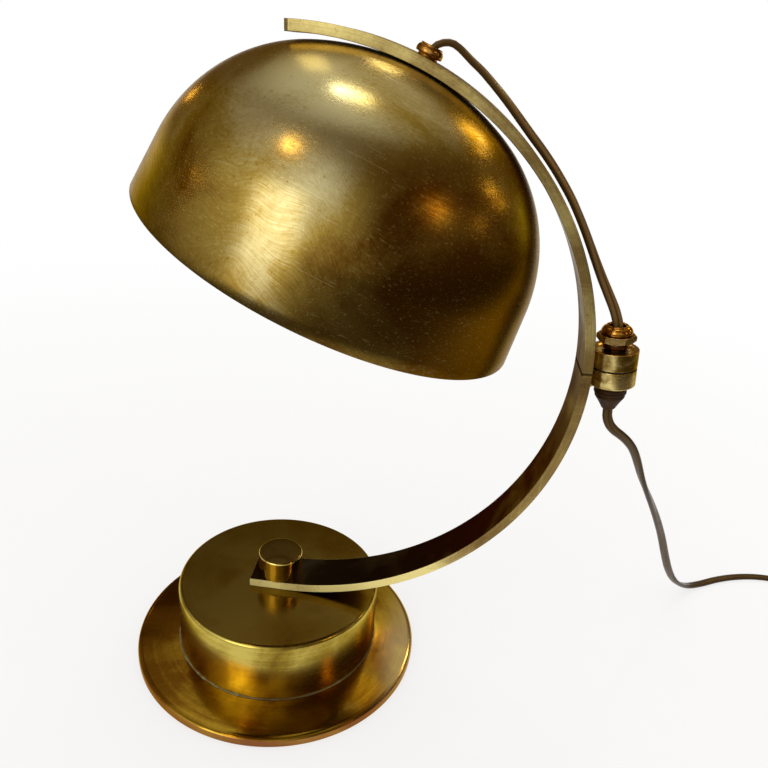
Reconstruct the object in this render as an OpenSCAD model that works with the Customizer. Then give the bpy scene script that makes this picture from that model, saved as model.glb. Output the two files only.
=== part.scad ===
// Brass table lamp: a bent flat bar on a weighted drum base, split by a swivel hinge,
// with a spun dome shade hung under the bar's upper end and a flat flex on the outside.
// Origin: centre of the base on the table. +X runs from the base towards the hinge.

/* [Base] */
// Diameter of the wide flange that stands on the table
flange_d = 170; // [160:1:190]
// Height of the flange's outer rim above the table
rim_z = 6; // [5.5:0.5:7]
// Height of the flange where the drum stands on it
seam_z = 8; // [8:0.5:10]
// Thickness of the flange's sheet
flange_wall = 2; // [1.5:0.1:2.4]
// Corner radius of the flange's rim
rim_round = 1.6; // [0.8:0.1:2]
// How far the felt stands out below the flange
foot_gap = 1; // [0.6:0.1:1.4]
// Diameter of the drum
drum_d = 120; // [112:1:130]
// Height of the drum above the flange
drum_h = 38; // [37:1:44]
// Thickness of the drum's sheet
drum_wall = 1.5; // [1:0.1:2]
// Radius of the drum's upper edge
drum_round = 2.5; // [2:0.1:4]
// Width of the bare ring between felt and rim
felt_margin = 6; // [3:0.5:12]
// Thickness of the closing plate above the felt
plate_t = 1.6; // [1:0.1:2]
// Thickness of the cast ballast
weight_t = 29; // [20:1:30]

/* [Foot clamp] */
// Diameter of the threaded stud that clamps the arm to the base
stud_d = 10; // [8:1:12]
// Diameter of the round cap nut on top
cap_nut_d = 26; // [22:1:30]
// Height of the round cap nut
cap_nut_h = 13.5; // [12:0.5:18]
// Chamfer of the cap nut's upper edge
cap_nut_chamfer = 1; // [0.4:0.1:2]
// Width across the flats of the nut under the ballast
clamp_nut_af = 17; // [16:0.5:19]
// Height of the nut under the ballast
clamp_nut_h = 8; // [6:0.5:8]
// Diameter of the washer under the ballast
clamp_washer_d = 30; // [24:1:40]
// Thickness of the washer under the ballast
clamp_washer_t = 2; // [1:0.1:2.5]

/* [Arm] */
// Width of the flat bar
strap_w = 25; // [22:0.5:26]
// Thickness of the flat bar
strap_t = 5; // [4:0.25:6]
// Outer radius of the bent bar
arm_r = 153; // [148:0.5:158]
// Distance from the stud to where the bar starts to rise
bend_x = 3.5; // [0:0.5:10]
// Length of the bar behind the stud
foot_back = 15.5; // [14:0.5:30]
// Angle of the bar's upper end, counted from the horizontal towards the hinge
tip_angle = 92; // [84:1:100]
// Gap where the bar is sawn through at the hinge
saw_gap = 0.4; // [0.3:0.05:0.6]

/* [Hinge] */
// Height of the hinge's joint plane above the arc's centre
joint_rise = 8.6; // [4:0.2:14]
// Lean of the hinge's axis towards the base
hinge_lean = 5.5; // [0:0.5:8]
// Diameter of the two hinge discs
disc_d = 23.5; // [20:0.5:26]
// Thickness of each hinge disc
disc_t = 9; // [7:0.5:11]
// Width of the lug that joins a disc to the bar
lug_w = 14; // [10:0.5:18]
// Depth of the lower lug below its disc
lug_drop = 2.5; // [1:0.5:4]
// Thickness of the friction washer between the discs
friction_t = 0.7; // [0.4:0.1:1]
// Running gap above and below the turning disc
run_gap = 0.1; // [0.05:0.01:0.2]
// Diameter of the hollow threaded pivot
pivot_d = 10; // [9:0.5:11]
// Bore of the hollow pivot, for the flex
pivot_bore = 8; // [7.4:0.1:8]
// Radial running clearance of the turning disc on the pivot
running = 0.06; // [0.03:0.01:0.1]
// Radial clearance of the pieces that are screwed on
screwed = 0.05; // [0.03:0.01:0.1]
// Diameter of the collar above the discs
collar_d = 12.6; // [12:0.2:15]
// Height of the collar
collar_h = 3.9; // [2:0.1:5]
// Width across the flats of the lock nut
lock_nut_af = 17; // [15:0.5:19]
// Height of the lock nut
lock_nut_h = 3.6; // [3:0.1:6]
// Diameter of the domed flex outlet above the lock nut
dome_d = 15.4; // [14:0.2:18]
// Height of the domed flex outlet
dome_h = 4.6; // [4:0.1:7]
// Diameter of the gland ring under the hinge
gland_d = 16.4; // [15:0.2:20]
// Height of the gland ring
gland_h = 5.8; // [5:0.1:8]
// Length of the gland's tapered flex relief
relief_h = 8.6; // [7:0.1:12]
// Diameter at the narrow end of the relief
relief_end_d = 6.8; // [6.6:0.1:8]

/* [Shade] */
// Diameter of the shade at its rim
shade_d = 198; // [192:1:204]
// Depth of the shade
shade_h = 98; // [94:1:104]
// Radius of the shade's crown
crown_r = 120; // [116:1:126]
// Radius of the shade's shoulder
shoulder_r = 80; // [76:1:84]
// Outward flare of the skirt
flare = 8; // [6:0.5:10]
// Thickness of the shade's sheet
shade_wall = 1; // [0.8:0.1:1.6]
// Lean of the shade's axis from the vertical
shade_lean = 21.5; // [16:0.5:26]
// Gap left between the crown and the bar
seat_gap = 0.1; // [0.05:0.05:0.3]

/* [Lampholder] */
// Diameter of the hollow threaded nipple through bar and shade
nipple_d = 8; // [7.6:0.1:9]
// Bore of the nipple, for the flex
nipple_bore = 6; // [5.9:0.1:6.4]
// Diameter of the round flex outlet above the bar
outlet_d = 12.6; // [12:0.2:15]
// Height of the round flex outlet
outlet_h = 4.2; // [4:0.1:5]
// Height of the narrow neck under the round flex outlet
outlet_lift = 1; // [0.4:0.1:1.4]
// Wall of that neck
outlet_neck_wall = 0.6; // [0.4:0.1:1]
// Diameter of the washer inside the crown
seat_washer_d = 24; // [20:1:34]
// Thickness of the washer inside the crown
seat_washer_t = 1.5; // [1:0.1:2.5]
// Width across the flats of the nut inside the crown
seat_nut_af = 14; // [13:0.5:17]
// Height of the nut inside the crown
seat_nut_h = 3; // [2:0.5:5]
// Outer diameter of the lampholder
holder_d = 27; // [26:0.5:32]
// Height of the lampholder's domed cap
holder_cap_h = 21; // [20:0.5:24]
// Height of the lampholder's sleeve
holder_sleeve_h = 19; // [18:0.5:22]
// Wall of the lampholder's neck round the nipple
holder_neck_wall = 2.6; // [2:0.1:4]
// Wall of the lampholder's cap and sleeve
holder_wall = 1.6; // [1.2:0.1:2]
// Thickness of the ceramic contact block
block_t = 5; // [4:0.5:6]
// Diameter of the bulb's screw cap
bulb_cap_d = 13.8; // [13.4:0.1:14.2]
// Length of the bulb's screw cap
bulb_cap_h = 17; // [15:0.5:19]
// Diameter of the bulb's globe
globe_d = 45; // [40:1:48]
// Thickness of the bulb's glass
glass_t = 0.8; // [0.6:0.1:1.2]

/* [Flex, switch and plug] */
// Width of the flat twin flex
flex_w = 5.2; // [4.8:0.1:5.4]
// Thickness of the flat twin flex
flex_t = 3.4; // [3:0.1:3.6]
// Mean radius of the coil's outermost turn
coil_r = 35.6; // [33:0.2:39]
// Distance from one turn to the next in a layer
turn_pitch = 4; // [3.9:0.1:4.6]
// Distance from the lower to the upper layer
layer_pitch = 5.7; // [5.7:0.1:6.4]
// Length of the flex switch
switch_l = 62; // [54:1:70]
// Width of the flex switch
switch_w = 24; // [22:1:30]
// Height of the flex switch
switch_h = 14; // [13:0.5:17]
// Wall of the flex switch
switch_wall = 1.8; // [1.4:0.1:2.2]
// Tilt of the rocker between off and on
rocker_travel = 14; // [10:1:16]
// Length of the rocker
rocker_l = 17; // [14:0.5:20]
// Width of the rocker
rocker_w = 9; // [7:0.5:11]
// Length of the plug's body
plug_l = 36; // [32:1:42]
// Width of the plug's body
plug_w = 34; // [30:1:38]
// Thickness of the plug's body
plug_t = 14; // [13:0.5:17]
// Length of the plug's tapered flex relief
plug_relief_l = 22; // [20:1:30]
// Diameter of the plug's pins
pin_d = 4; // [3.9:0.1:4.8]
// Free length of the plug's pins
pin_l = 19; // [17:0.5:20]
// Distance between the plug's pins
pin_gap = 18.6; // [17:0.2:20]
// Width of the tie round the coil
tie_w = 9; // [6:0.5:12]
// Thickness of the tie's band
tie_t = 0.5; // [0.4:0.1:0.7]

/* [Hidden] */
$fn = 96;

// General clearance between pieces that slip past each other
slip = 0.3;

// Heights in the base, from the table upwards
plate_top = rim_z - flange_wall - slip;
felt_t = plate_top - plate_t;
drum_top = seam_z + drum_h;
weight_top = drum_top - drum_wall;
weight_low = weight_top - weight_t;
washer_low = weight_low - clamp_washer_t;
stud_low = washer_low - clamp_nut_h;
foot_top = drum_top + strap_t;
cap_nut_crown = 2.5;
stud_top = foot_top + cap_nut_h - cap_nut_crown - 1;

// Centre of the bar's arc, in the plane y = 0
arc_x = bend_x;
arc_z = drum_top + arm_r;
arm_in = arm_r - strap_t;

// The hinge's axis stands clear of the bar by a disc's radius
joint_reach = sqrt(arm_r * arm_r - joint_rise * joint_rise);
disc_r = disc_d / 2;
hinge_x = arc_x + joint_reach + (disc_r + 0.15) / cos(hinge_lean);
hinge_z = arc_z + joint_rise;

// Heights along the hinge's axis, from the middle of the saw cut
washer_half = friction_t / 2;
lower_disc_top = -washer_half;
lower_disc_low = lower_disc_top - disc_t;
upper_disc_low = washer_half + run_gap;
upper_disc_top = upper_disc_low + disc_t;
collar_low = upper_disc_top + run_gap;
lock_nut_low = collar_low + collar_h;
dome_low = lock_nut_low + lock_nut_h;
dome_top = dome_low + dome_h;
gland_low = lower_disc_low - gland_h;
relief_spigot = 1.6;
pivot_low = gland_low + relief_spigot + 0.2;
pivot_high = dome_low + dome_h / 2;
pivot_r = pivot_d / 2;
thread_r = pivot_r + screwed;

// Heights along the shade's axis, from its rim plane upwards
rim_dist = arm_in - seat_gap - shade_h;
bar_in = shade_h + seat_gap;
bar_out = bar_in + strap_t;
crown_in = crown_r - shade_wall;
crown_sag = crown_in - sqrt(crown_in * crown_in - seat_washer_d * seat_washer_d / 4);
seat_washer_low = shade_h - shade_wall - crown_sag - 0.05 - seat_washer_t;
seat_nut_low = seat_washer_low - seat_nut_h;
nipple_r = nipple_d / 2;
nipple_thread_r = nipple_r + screwed;
outlet_low = bar_out + outlet_lift;
nipple_engage = 1.2;
nipple_high = outlet_low + nipple_engage;
holder_top = seat_nut_low - 0.2;
holder_neck_h = 8;
sleeve_top = holder_top - holder_cap_h;
sleeve_low = sleeve_top - holder_sleeve_h;
nipple_low = holder_top - holder_neck_h + 1;
holder_r = holder_d / 2;
bulb_cap_r = bulb_cap_d / 2;
shell_in = bulb_cap_r + slip;
shell_wall = 0.6;
block_low = sleeve_top - block_t + 3;
contact_h = 1.4;
bulb_button_h = 2;
bulb_cap_top = block_low - contact_h - bulb_button_h - 0.1;
bulb_cap_low = bulb_cap_top - bulb_cap_h;
globe_r = globe_d / 2;
globe_z = bulb_cap_low - 2 - globe_r * 0.9;
stem_r = 2.4;
stem_low = globe_z + 8;

// The skirt meets the shoulder, and the shoulder the crown, without a corner
shade_r = shade_d / 2;
arc_step = crown_r - shoulder_r;
skirt_reach = shade_r - shoulder_r * cos(flare)
    - (shade_h - crown_r + shoulder_r * sin(flare)) * tan(flare);
crown_half_angle = asin(skirt_reach * cos(flare) / arc_step) - flare;
shoulder_x = arc_step * sin(crown_half_angle);
shoulder_z = shade_h - crown_r + arc_step * cos(crown_half_angle);

// Flex switch, standing along y beside the coil
switch_x = 397;
switch_y = 47;
switch_split = 6;
switch_cord_z = 5.6;
rocker_axis_z = switch_h - 1.6;
rocker_pin_d = 2.4;
rocker_depth = 6;

// Coil: turns run clockwise from above, in and out again, in two layers
coil_x = switch_x - coil_r;
coil_y = -24;
coil_turns = 7;
coil_rings = 24;
coil_low = tie_t + flex_w / 2;

// Plug, lying flat beyond the coil
plug_z = plug_t / 2;
plug_start_y = -52;

// Route of the flex from inside the hinge to the switch, as [x, y, z, roll]
// The roll turns the flat flex about its own line, 0 with its width level
route_run = [
    [168.2, 0, 207.4, 90],
    [169.4, 0, 196, 90],
    [170.3, 0, 186.5, 90],
    [171.0, 0.2, 179.5, 88],
    [173.3, 0.9, 174.2, 82],
    [177.0, 2.1, 170.2, 72],
    [181.6, 3.8, 166.7, 60],
    [186.2, 5.9, 162.6, 45],
    [190.5, 8.4, 157.4, 28],
    [194.2, 11, 151.2, 12],
    [197.7, 14, 144.2, 0],
    [201.4, 17.5, 136.6, -14],
    [205.6, 21.4, 128.8, -30],
    [210.4, 26, 120.6, -48],
    [215.6, 31, 111.8, -64],
    [221.0, 36.6, 102.4, -78],
    [226.6, 42.6, 92.2, -90],
    [232.2, 48.8, 81.4, -100],
    [237.8, 55, 69.8, -112],
    [243.4, 61.4, 57.6, -125],
    [249.2, 67.9, 45.2, -140],
    [255.4, 74.6, 33, -154],
    [262.4, 81.6, 21.6, -166],
    [270.8, 89.2, 11.8, -175],
    [281.2, 97.4, 4.8, -180],
    [293.6, 105.6, 1.9, -180],
    [307.4, 113.2, 1.7, -180],
    [322.2, 119.2, 1.7, -180],
    [337.6, 122.8, 1.7, -180],
    [352.8, 123.2, 1.7, -180],
    [367.0, 120.2, 1.7, -180],
    [379.4, 113.4, 2.1, -180],
    [389.0, 103.6, 3.1, -180],
    [394.8, 92.8, 4.4, -180],
    [397, 84, 5.6, -180],
    [397, 74, 5.6, -180]
];
// Route from the switch to the coil
route_link = [
    [397, 20, 5.6, -180],
    [397, 14, 5.6, -178],
    [397, 9, 5.2, -168],
    [397, 3, 4.4, -150],
    [397, -4, 3.5, -125],
    [397, -11, 3.1, -102],
    [397, -18.8, 3.1, -90]
];
// Route from the coil to the plug
route_tail = [
    [397, -29.2, 8.8, -90],
    [397, -32, 8.8, -94],
    [397, -37, 8.5, -120],
    [397, -44, 7.7, -155],
    [397, -50, 7.1, -178],
    [397, -56, 7, -180],
    [397, -62, 7, -180]
];
// Lead on the hinge's axis, as [height above the joint, roll]
lead_rise = [
    [0.2, 90],
    [10.4, 90],
    [16.4, 88],
    [dome_top - 0.2, 84]
];
// Lead over the bar, as [percent of the way to the shade's axis, lift above the bar, roll]
lead_over = [
    [2.4, 10.4, 78],
    [5, 9.3, 72],
    [10, 7.3, 62],
    [15.2, 5.8, 52],
    [20.4, 4.8, 42],
    [25.6, 4.2, 34],
    [31, 3.9, 30],
    [36.2, 3.6, 28],
    [41.4, 3.4, 28],
    [46.8, 3.2, 28],
    [52.2, 3.1, 28],
    [57.8, 3.1, 28],
    [63.2, 3.2, 28],
    [68.8, 3.9, 26],
    [74.2, 5, 22],
    [79.8, 6.3, 16],
    [85.2, 7.8, 10],
    [88.4, 8.4, 6],
    [91.4, 9.3, 3],
    [93.4, 10, 0],
    [95, 10.2, 0],
    [96.4, 9.7, 0],
    [97.8, 8.4, 0],
    [99, 6.5, 0],
    [99.7, 4.1, 0]
];
// Lead down the shade's axis, as heights above the rim plane
lead_drop = [outlet_low + 0.4, outlet_low - 2.9, seat_washer_low - 0.7, nipple_low - 1];

function on_hinge(h) = [hinge_x - h * sin(hinge_lean), 0, hinge_z + h * cos(hinge_lean)];
function about_arc(a, r) = [arc_x + r * cos(a), 0, arc_z + r * sin(a)];
dome_hole = on_hinge(dome_top);
lead_from = atan2(dome_hole[2] - arc_z, dome_hole[0] - arc_x);
lead_to = 90 - shade_lean;
route_lead = concat(
    [for (q = lead_rise) concat(on_hinge(q[0]), q[1])],
    [for (q = lead_over)
        concat(about_arc(lead_from + (lead_to - lead_from) * q[0] / 100, arm_r + q[1]), q[2])],
    [for (h = lead_drop) concat(about_arc(lead_to, rim_dist + h), 0)]
);

// Geometry helpers
function unit(v) = v / norm(v);
function level_side(t) = unit(cross(t, [0, 0, 1]));
function heading(p, i) = unit(p[min(i + 1, len(p) - 1)] - p[max(i - 1, 0)]);
function place(q) = [q[0], q[1], q[2]];
function wedge(r, a, b) =
    concat([[0, 0]], [for (i = [0:4]) let (t = a + (b - a) * i / 4) r * [cos(t), sin(t)]]);

// One ring of an oval tube, its width turned by the roll about the tube's line
function oval_ring(c, t, roll, w, h, n) =
    let (s = level_side(t))
    let (u = cross(s, t))
    let (wd = cos(roll) * s + sin(roll) * u)
    let (hd = cos(roll) * u - sin(roll) * s)
    [for (k = [0:n - 1]) let (a = 360 * (k + 0.5) / n) c + w / 2 * cos(a) * wd + h / 2 * sin(a) * hd];

// Closed tube through rings of n points each
module tube(rings, n) {
    last = len(rings) - 1;
    points = [for (r = rings) for (p = r) p];
    walls = [for (i = [0:last - 1]) for (k = [0:n - 1]) let (a = i * n + k, b = i * n + (k + 1) % n)
        each [[a, b, a + n], [b, b + n, a + n]]];
    first_cap = [for (k = [1:n - 2]) [0, k + 1, k]];
    last_cap = [for (k = [1:n - 2]) [last * n, last * n + k, last * n + k + 1]];
    polyhedron(points = points, faces = concat(walls, first_cap, last_cap));
}

// Flat flex along a route, its flats as far apart as the flex is wide and thick
module flex(route) {
    n = 8;
    grow = 1 / cos(180 / n);
    p = [for (q = route) place(q)];
    tube([for (i = [0:len(p) - 1])
        oval_ring(p[i], heading(p, i), route[i][3], flex_w * grow, flex_t * grow, n)], n);
}

// Coil's line: in to the middle turn and out again, with a half turn to climb a layer
function coil_radius(turn) = coil_r - turn_pitch * min(turn, coil_turns - turn);
function coil_climb(turn) = min(max(turn - coil_turns / 2 + 0.25, 0) * 2, 1);
function coil_place(turn) = [
    coil_x + coil_radius(turn) * cos(-360 * turn),
    coil_y + coil_radius(turn) * sin(-360 * turn),
    coil_low + layer_pitch * (0.5 - 0.5 * cos(180 * coil_climb(turn)))
];
// Six-sided ring, upright, flat below and above
function coil_ring(turn) =
    let (a = -360 * turn)
    [for (k = [0:5]) coil_place(turn)
        + flex_t / 2 * cos(60 * k) * [cos(a), sin(a), 0]
        + flex_w / 2 * sin(60 * k) / sin(60) * [0, 0, -1]];
coil_steps = coil_turns * coil_rings;
coil_line = [for (i = [0:coil_steps]) coil_place(i / coil_rings)];
// Both ends run straight on for one width of the flex
function moved(ring, dy) = [for (p = ring) p + [0, dy, 0]];
coil_tube = concat(
    [moved(coil_ring(0), flex_w)],
    [for (i = [0:coil_steps]) coil_ring(i / coil_rings)],
    [moved(coil_ring(coil_turns), -flex_w)]
);

// Lengths, and the least gap between a turn of the coil and the turns beside it
function line_length(p) =
    let (steps = [for (i = [1:len(p) - 1]) norm(p[i] - p[i - 1])])
    steps * [for (x = steps) 1];
run_length = line_length([for (q = route_run) place(q)]);
link_length = line_length([for (q = route_link) place(q)]);
tail_length = line_length([for (q = route_tail) place(q)]);
coil_length = line_length(coil_line) + 2 * flex_w;
lead_length = line_length([for (q = route_lead) place(q)]);
flex_length = run_length + switch_l + link_length + coil_length + tail_length;
// Two upright six-sided sections lie apart along their level faces or along their slanted ones
slant = flex_t / (2 * flex_w);
near_gaps = [for (i = [0:coil_steps]) for (j = [i + coil_rings - 3:1:min(i + 4 * coil_rings, coil_steps)])
    let (d = coil_line[j] - coil_line[i])
    let (level = norm([d[0], d[1]]))
    let (up = abs(d[2]))
    max(up - flex_w, (level + up * slant - flex_t) * cos(atan(slant)))];
echo(flex_length = flex_length, coil_length = coil_length, lead_length = lead_length);
echo(coil_least_gap = min(near_gaps));

// Frames of the leaning hinge and of the leaning shade
module in_hinge() {
    translate([hinge_x, 0, hinge_z])
        rotate([0, -hinge_lean, 0])
            children();
}
module in_shade() {
    translate([arc_x, 0, arc_z])
        rotate([0, shade_lean, 0])
            translate([0, 0, rim_dist])
                children();
}

// Shapes that repeat
module ring(r_out, r_in, low, high) {
    translate([0, 0, low])
        difference() {
            cylinder(r = r_out, h = high - low);
            translate([0, 0, -1])
                cylinder(r = r_in, h = high - low + 2);
        }
}
// Hexagon nut with both faces chamfered
module hex_nut(af, bore_r, low, high) {
    corner_r = af / sqrt(3);
    chamfer = (corner_r - af / 2) * 0.6;
    height = high - low;
    translate([0, 0, low])
        difference() {
            intersection() {
                cylinder(r = corner_r, h = height, $fn = 6);
                rotate_extrude()
                    polygon([
                        [0, 0], [af / 2, 0], [corner_r, chamfer],
                        [corner_r, height - chamfer], [af / 2, height], [0, height]
                    ]);
            }
            translate([0, 0, -1])
                cylinder(r = bore_r, h = height + 2);
        }
}
// Flat outline in the plane y = 0, made as wide as the bar
module bar_plate(width) {
    rotate([90, 0, 0])
        linear_extrude(height = width, center = true)
            children();
}
// The bar's arc as a flat ring
module bar_ring() {
    translate([arc_x, arc_z])
        difference() {
            circle(r = arm_r, $fn = 360);
            circle(r = arm_in, $fn = 360);
        }
}
// Half plane on one side of the saw cut
module saw_side(up) {
    reach = 4 * arm_r;
    translate([hinge_x, hinge_z])
        rotate(hinge_lean)
            translate([-reach / 2, up ? saw_gap / 2 : -saw_gap / 2 - reach])
                square([reach, reach]);
}

// Felt under the base
module felt_pad() {
    color("#3a2c22")
        cylinder(r = flange_d / 2 - felt_margin, h = felt_t);
}
// Steel plate that closes the base
module base_plate() {
    color("#77797b")
        translate([0, 0, felt_t])
            cylinder(r = flange_d / 2 - flange_wall - slip, h = plate_t);
}
// Spun flange with a turned-down rim
module base_flange() {
    edge_r = flange_d / 2;
    wall_r = edge_r - flange_wall;
    hole_r = drum_d / 2 - drum_wall;
    corner = [edge_r - rim_round, rim_z - rim_round];
    color("#b5892f")
        rotate_extrude($fn = 180)
            difference() {
                union() {
                    polygon([
                        [hole_r, foot_gap], [edge_r, foot_gap], [edge_r, corner[1]],
                        [corner[0], rim_z], [drum_d / 2, seam_z], [hole_r, seam_z]
                    ]);
                    translate(corner)
                        circle(r = rim_round);
                }
                polygon([
                    [hole_r - 1, foot_gap - 1], [wall_r, foot_gap - 1], [wall_r, rim_z - flange_wall],
                    [drum_d / 2, seam_z - flange_wall], [hole_r - 1, seam_z - flange_wall]
                ]);
            }
}
// Spun drum, soldered to the flange
module base_drum() {
    r = drum_d / 2;
    corner = [r - drum_round, drum_top - drum_round];
    color("#b08a35")
        difference() {
            rotate_extrude($fn = 180)
                difference() {
                    union() {
                        polygon([
                            [0, seam_z], [r, seam_z], [r, corner[1]],
                            [corner[0], drum_top], [0, drum_top]
                        ]);
                        translate(corner)
                            circle(r = drum_round);
                    }
                    translate([-1, seam_z - 1])
                        square([r - drum_wall + 1, drum_h - drum_wall + 1]);
                }
            translate([0, 0, drum_top - drum_wall - 1])
                cylinder(r = stud_d / 2 + slip, h = drum_wall + 2);
        }
}
// Cast ballast, clamped up against the drum's top
module base_weight() {
    weight_r = drum_d / 2 - drum_wall - slip;
    bevel = 3;
    color("#3d3f41")
        difference() {
            translate([0, 0, weight_low])
                rotate_extrude($fn = 180)
                    polygon([
                        [0, 0], [weight_r - bevel, 0], [weight_r, bevel],
                        [weight_r, weight_t - 1], [weight_r - 1, weight_t], [0, weight_t]
                    ]);
            translate([0, 0, weight_low - 1])
                cylinder(r = stud_d / 2 + slip, h = weight_t + 2);
        }
}
// Threaded stud through ballast, drum and bar
module clamp_stud() {
    color("#8d8f92")
        translate([0, 0, stud_low])
            cylinder(r = stud_d / 2, h = stud_top - stud_low);
}
// Washer under the ballast
module clamp_washer() {
    color("#9a9c9f")
        ring(clamp_washer_d / 2, stud_d / 2 + slip, washer_low, weight_low);
}
// Nut under the ballast
module clamp_nut() {
    color("#85878a")
        hex_nut(clamp_nut_af, stud_d / 2 + screwed, stud_low, washer_low);
}
// Round cap nut that clamps the bar's foot
module cap_nut() {
    r = cap_nut_d / 2;
    color("#c29a3e")
        translate([0, 0, foot_top])
            difference() {
                rotate_extrude()
                    polygon([
                        [0, 0], [r, 0], [r, cap_nut_h - cap_nut_chamfer],
                        [r - cap_nut_chamfer, cap_nut_h], [0, cap_nut_h]
                    ]);
                translate([0, 0, -1])
                    cylinder(r = stud_d / 2 + screwed, h = cap_nut_h - cap_nut_crown + 1);
            }
}
// Lower half of the bent bar, flat on the drum and then rising to the saw cut
module lower_arm() {
    color("#a8853c")
        difference() {
            bar_plate(strap_w)
                union() {
                    translate([-foot_back, drum_top])
                        square([foot_back + bend_x, strap_t]);
                    intersection() {
                        bar_ring();
                        translate([arc_x, drum_top - 1])
                            square([2 * arm_r, 2 * arm_r]);
                        saw_side(false);
                    }
                }
            translate([0, 0, drum_top - 1])
                cylinder(r = stud_d / 2 + slip, h = strap_t + 2);
            // Flat seat for the cap nut where the bar starts to rise
            translate([0, 0, foot_top])
                cylinder(r = cap_nut_d / 2 + slip, h = strap_t);
        }
}
// Hinge disc with the lug that is brazed to the bar's outer face
module hinge_disc(low, high, bore_r, drop) {
    fillet_end = -gland_d / 2 - slip;
    difference() {
        in_hinge()
            difference() {
                union() {
                    translate([0, 0, low])
                        cylinder(r = disc_r, h = high - low);
                    rotate([90, 0, 0])
                        linear_extrude(height = lug_w, center = true)
                            polygon([
                                [-disc_r - 4, low - drop], [fillet_end - drop, low - drop],
                                [fillet_end, low], [0, low], [0, high], [-disc_r - 4, high]
                            ]);
                }
                translate([0, 0, low - 1])
                    cylinder(r = bore_r, h = high - low + 2);
            }
        translate([arc_x, 0, arc_z])
            rotate([90, 0, 0])
                cylinder(r = arm_r, h = 2 * strap_w, center = true, $fn = 360);
    }
}
module lower_disc() {
    color("#b5913f")
        hinge_disc(lower_disc_low, lower_disc_top, thread_r, lug_drop);
}
module upper_disc() {
    color("#bb9745")
        hinge_disc(upper_disc_low, upper_disc_top, pivot_r + running, 0);
}
// Dark friction washer between the discs, set back from their edge
module friction_washer() {
    color("#2a211b")
        in_hinge()
            ring(disc_r - 1, pivot_r + slip, -washer_half, washer_half);
}
// Hollow threaded pivot that carries the flex through the hinge
module pivot_tube() {
    color("#b3923f")
        in_hinge()
            ring(pivot_r, pivot_bore / 2, pivot_low, pivot_high);
}
// Rounded collar above the turning disc
module pivot_collar() {
    r = collar_d / 2;
    edge = 0.9;
    color("#9b6a2b")
        in_hinge()
            translate([0, 0, collar_low])
                rotate_extrude()
                    difference() {
                        union() {
                            translate([0, edge])
                                square([r, collar_h - 2 * edge]);
                            square([r - edge, collar_h]);
                            translate([r - edge, edge])
                                circle(r = edge, $fn = 32);
                            translate([r - edge, collar_h - edge])
                                circle(r = edge, $fn = 32);
                        }
                        translate([-1, -1])
                            square([thread_r + 1, collar_h + 2]);
                    }
}
// Hexagon lock nut that sets the hinge's friction
module lock_nut() {
    color("#c19b48")
        in_hinge()
            rotate(30)
                hex_nut(lock_nut_af, thread_r, lock_nut_low, dome_low);
}
// Bulged outlet cap with a rounded lip, on a threaded tube
module outlet(r, height, hole_r, bore_r, bore_h) {
    lip = 1.2;
    side = height - lip;
    rotate_extrude()
        difference() {
            union() {
                intersection() {
                    translate([r - height * 0.9, height * 0.38])
                        circle(r = height * 0.9, $fn = 96);
                    square([r, height - lip * 0.35]);
                }
                square([r - height * 0.55, side]);
                translate([hole_r + lip, height - lip])
                    circle(r = lip, $fn = 48);
            }
            translate([-1, -1])
                square([hole_r + 1, height + 2]);
            translate([-1, -1])
                square([bore_r + 1, bore_h + 1]);
        }
}
module flex_dome() {
    color("#b4701f")
        in_hinge()
            translate([0, 0, dome_low])
                outlet(dome_d / 2, dome_h, pivot_bore / 2, thread_r, dome_h / 2 + 0.1);
}
module flex_outlet() {
    color("#b87a28")
        in_shade()
            union() {
                translate([0, 0, outlet_low])
                    outlet(outlet_d / 2, outlet_h, nipple_r - 0.1, nipple_thread_r, nipple_engage + 0.1);
                ring(nipple_thread_r + outlet_neck_wall, nipple_thread_r, bar_out, outlet_low + 0.5);
            }
}
// Ring of the flex gland, screwed on the pivot under the hinge
module gland_ring() {
    r = gland_d / 2;
    bead = 0.8;
    color("#3b2718")
        in_hinge()
            translate([0, 0, gland_low])
                rotate_extrude()
                    difference() {
                        union() {
                            square([r - bead, gland_h]);
                            translate([0, bead])
                                square([r, gland_h - bead]);
                            translate([r - bead, bead])
                                circle(r = bead, $fn = 32);
                        }
                        translate([-1, -1])
                            square([thread_r + 1, gland_h + 2]);
                    }
}
// Tapered relief that grips the flex under the ring
module gland_relief() {
    bore_r = flex_w / 2 + slip;
    color("#35231a")
        in_hinge()
            translate([0, 0, gland_low])
                rotate_extrude()
                    polygon([
                        [bore_r, relief_spigot], [pivot_r - 0.05, relief_spigot], [pivot_r - 0.05, 0],
                        [gland_d / 2 - 0.8, -0.02], [gland_d / 2 - 1.1, -relief_h * 0.3],
                        [gland_d / 2 - 2.6, -relief_h * 0.66], [relief_end_d / 2, -relief_h],
                        [bore_r, -relief_h]
                    ]);
}
// Upper half of the bent bar
module upper_arm() {
    color("#a17f38")
        difference() {
            bar_plate(strap_w)
                intersection() {
                    bar_ring();
                    saw_side(true);
                    translate([arc_x, arc_z])
                        polygon(wedge(2 * arm_r, -10, tip_angle));
                }
            in_shade()
                translate([0, 0, bar_in - 2])
                    cylinder(r = nipple_r + slip / 2, h = strap_t + 4);
        }
}
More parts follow.
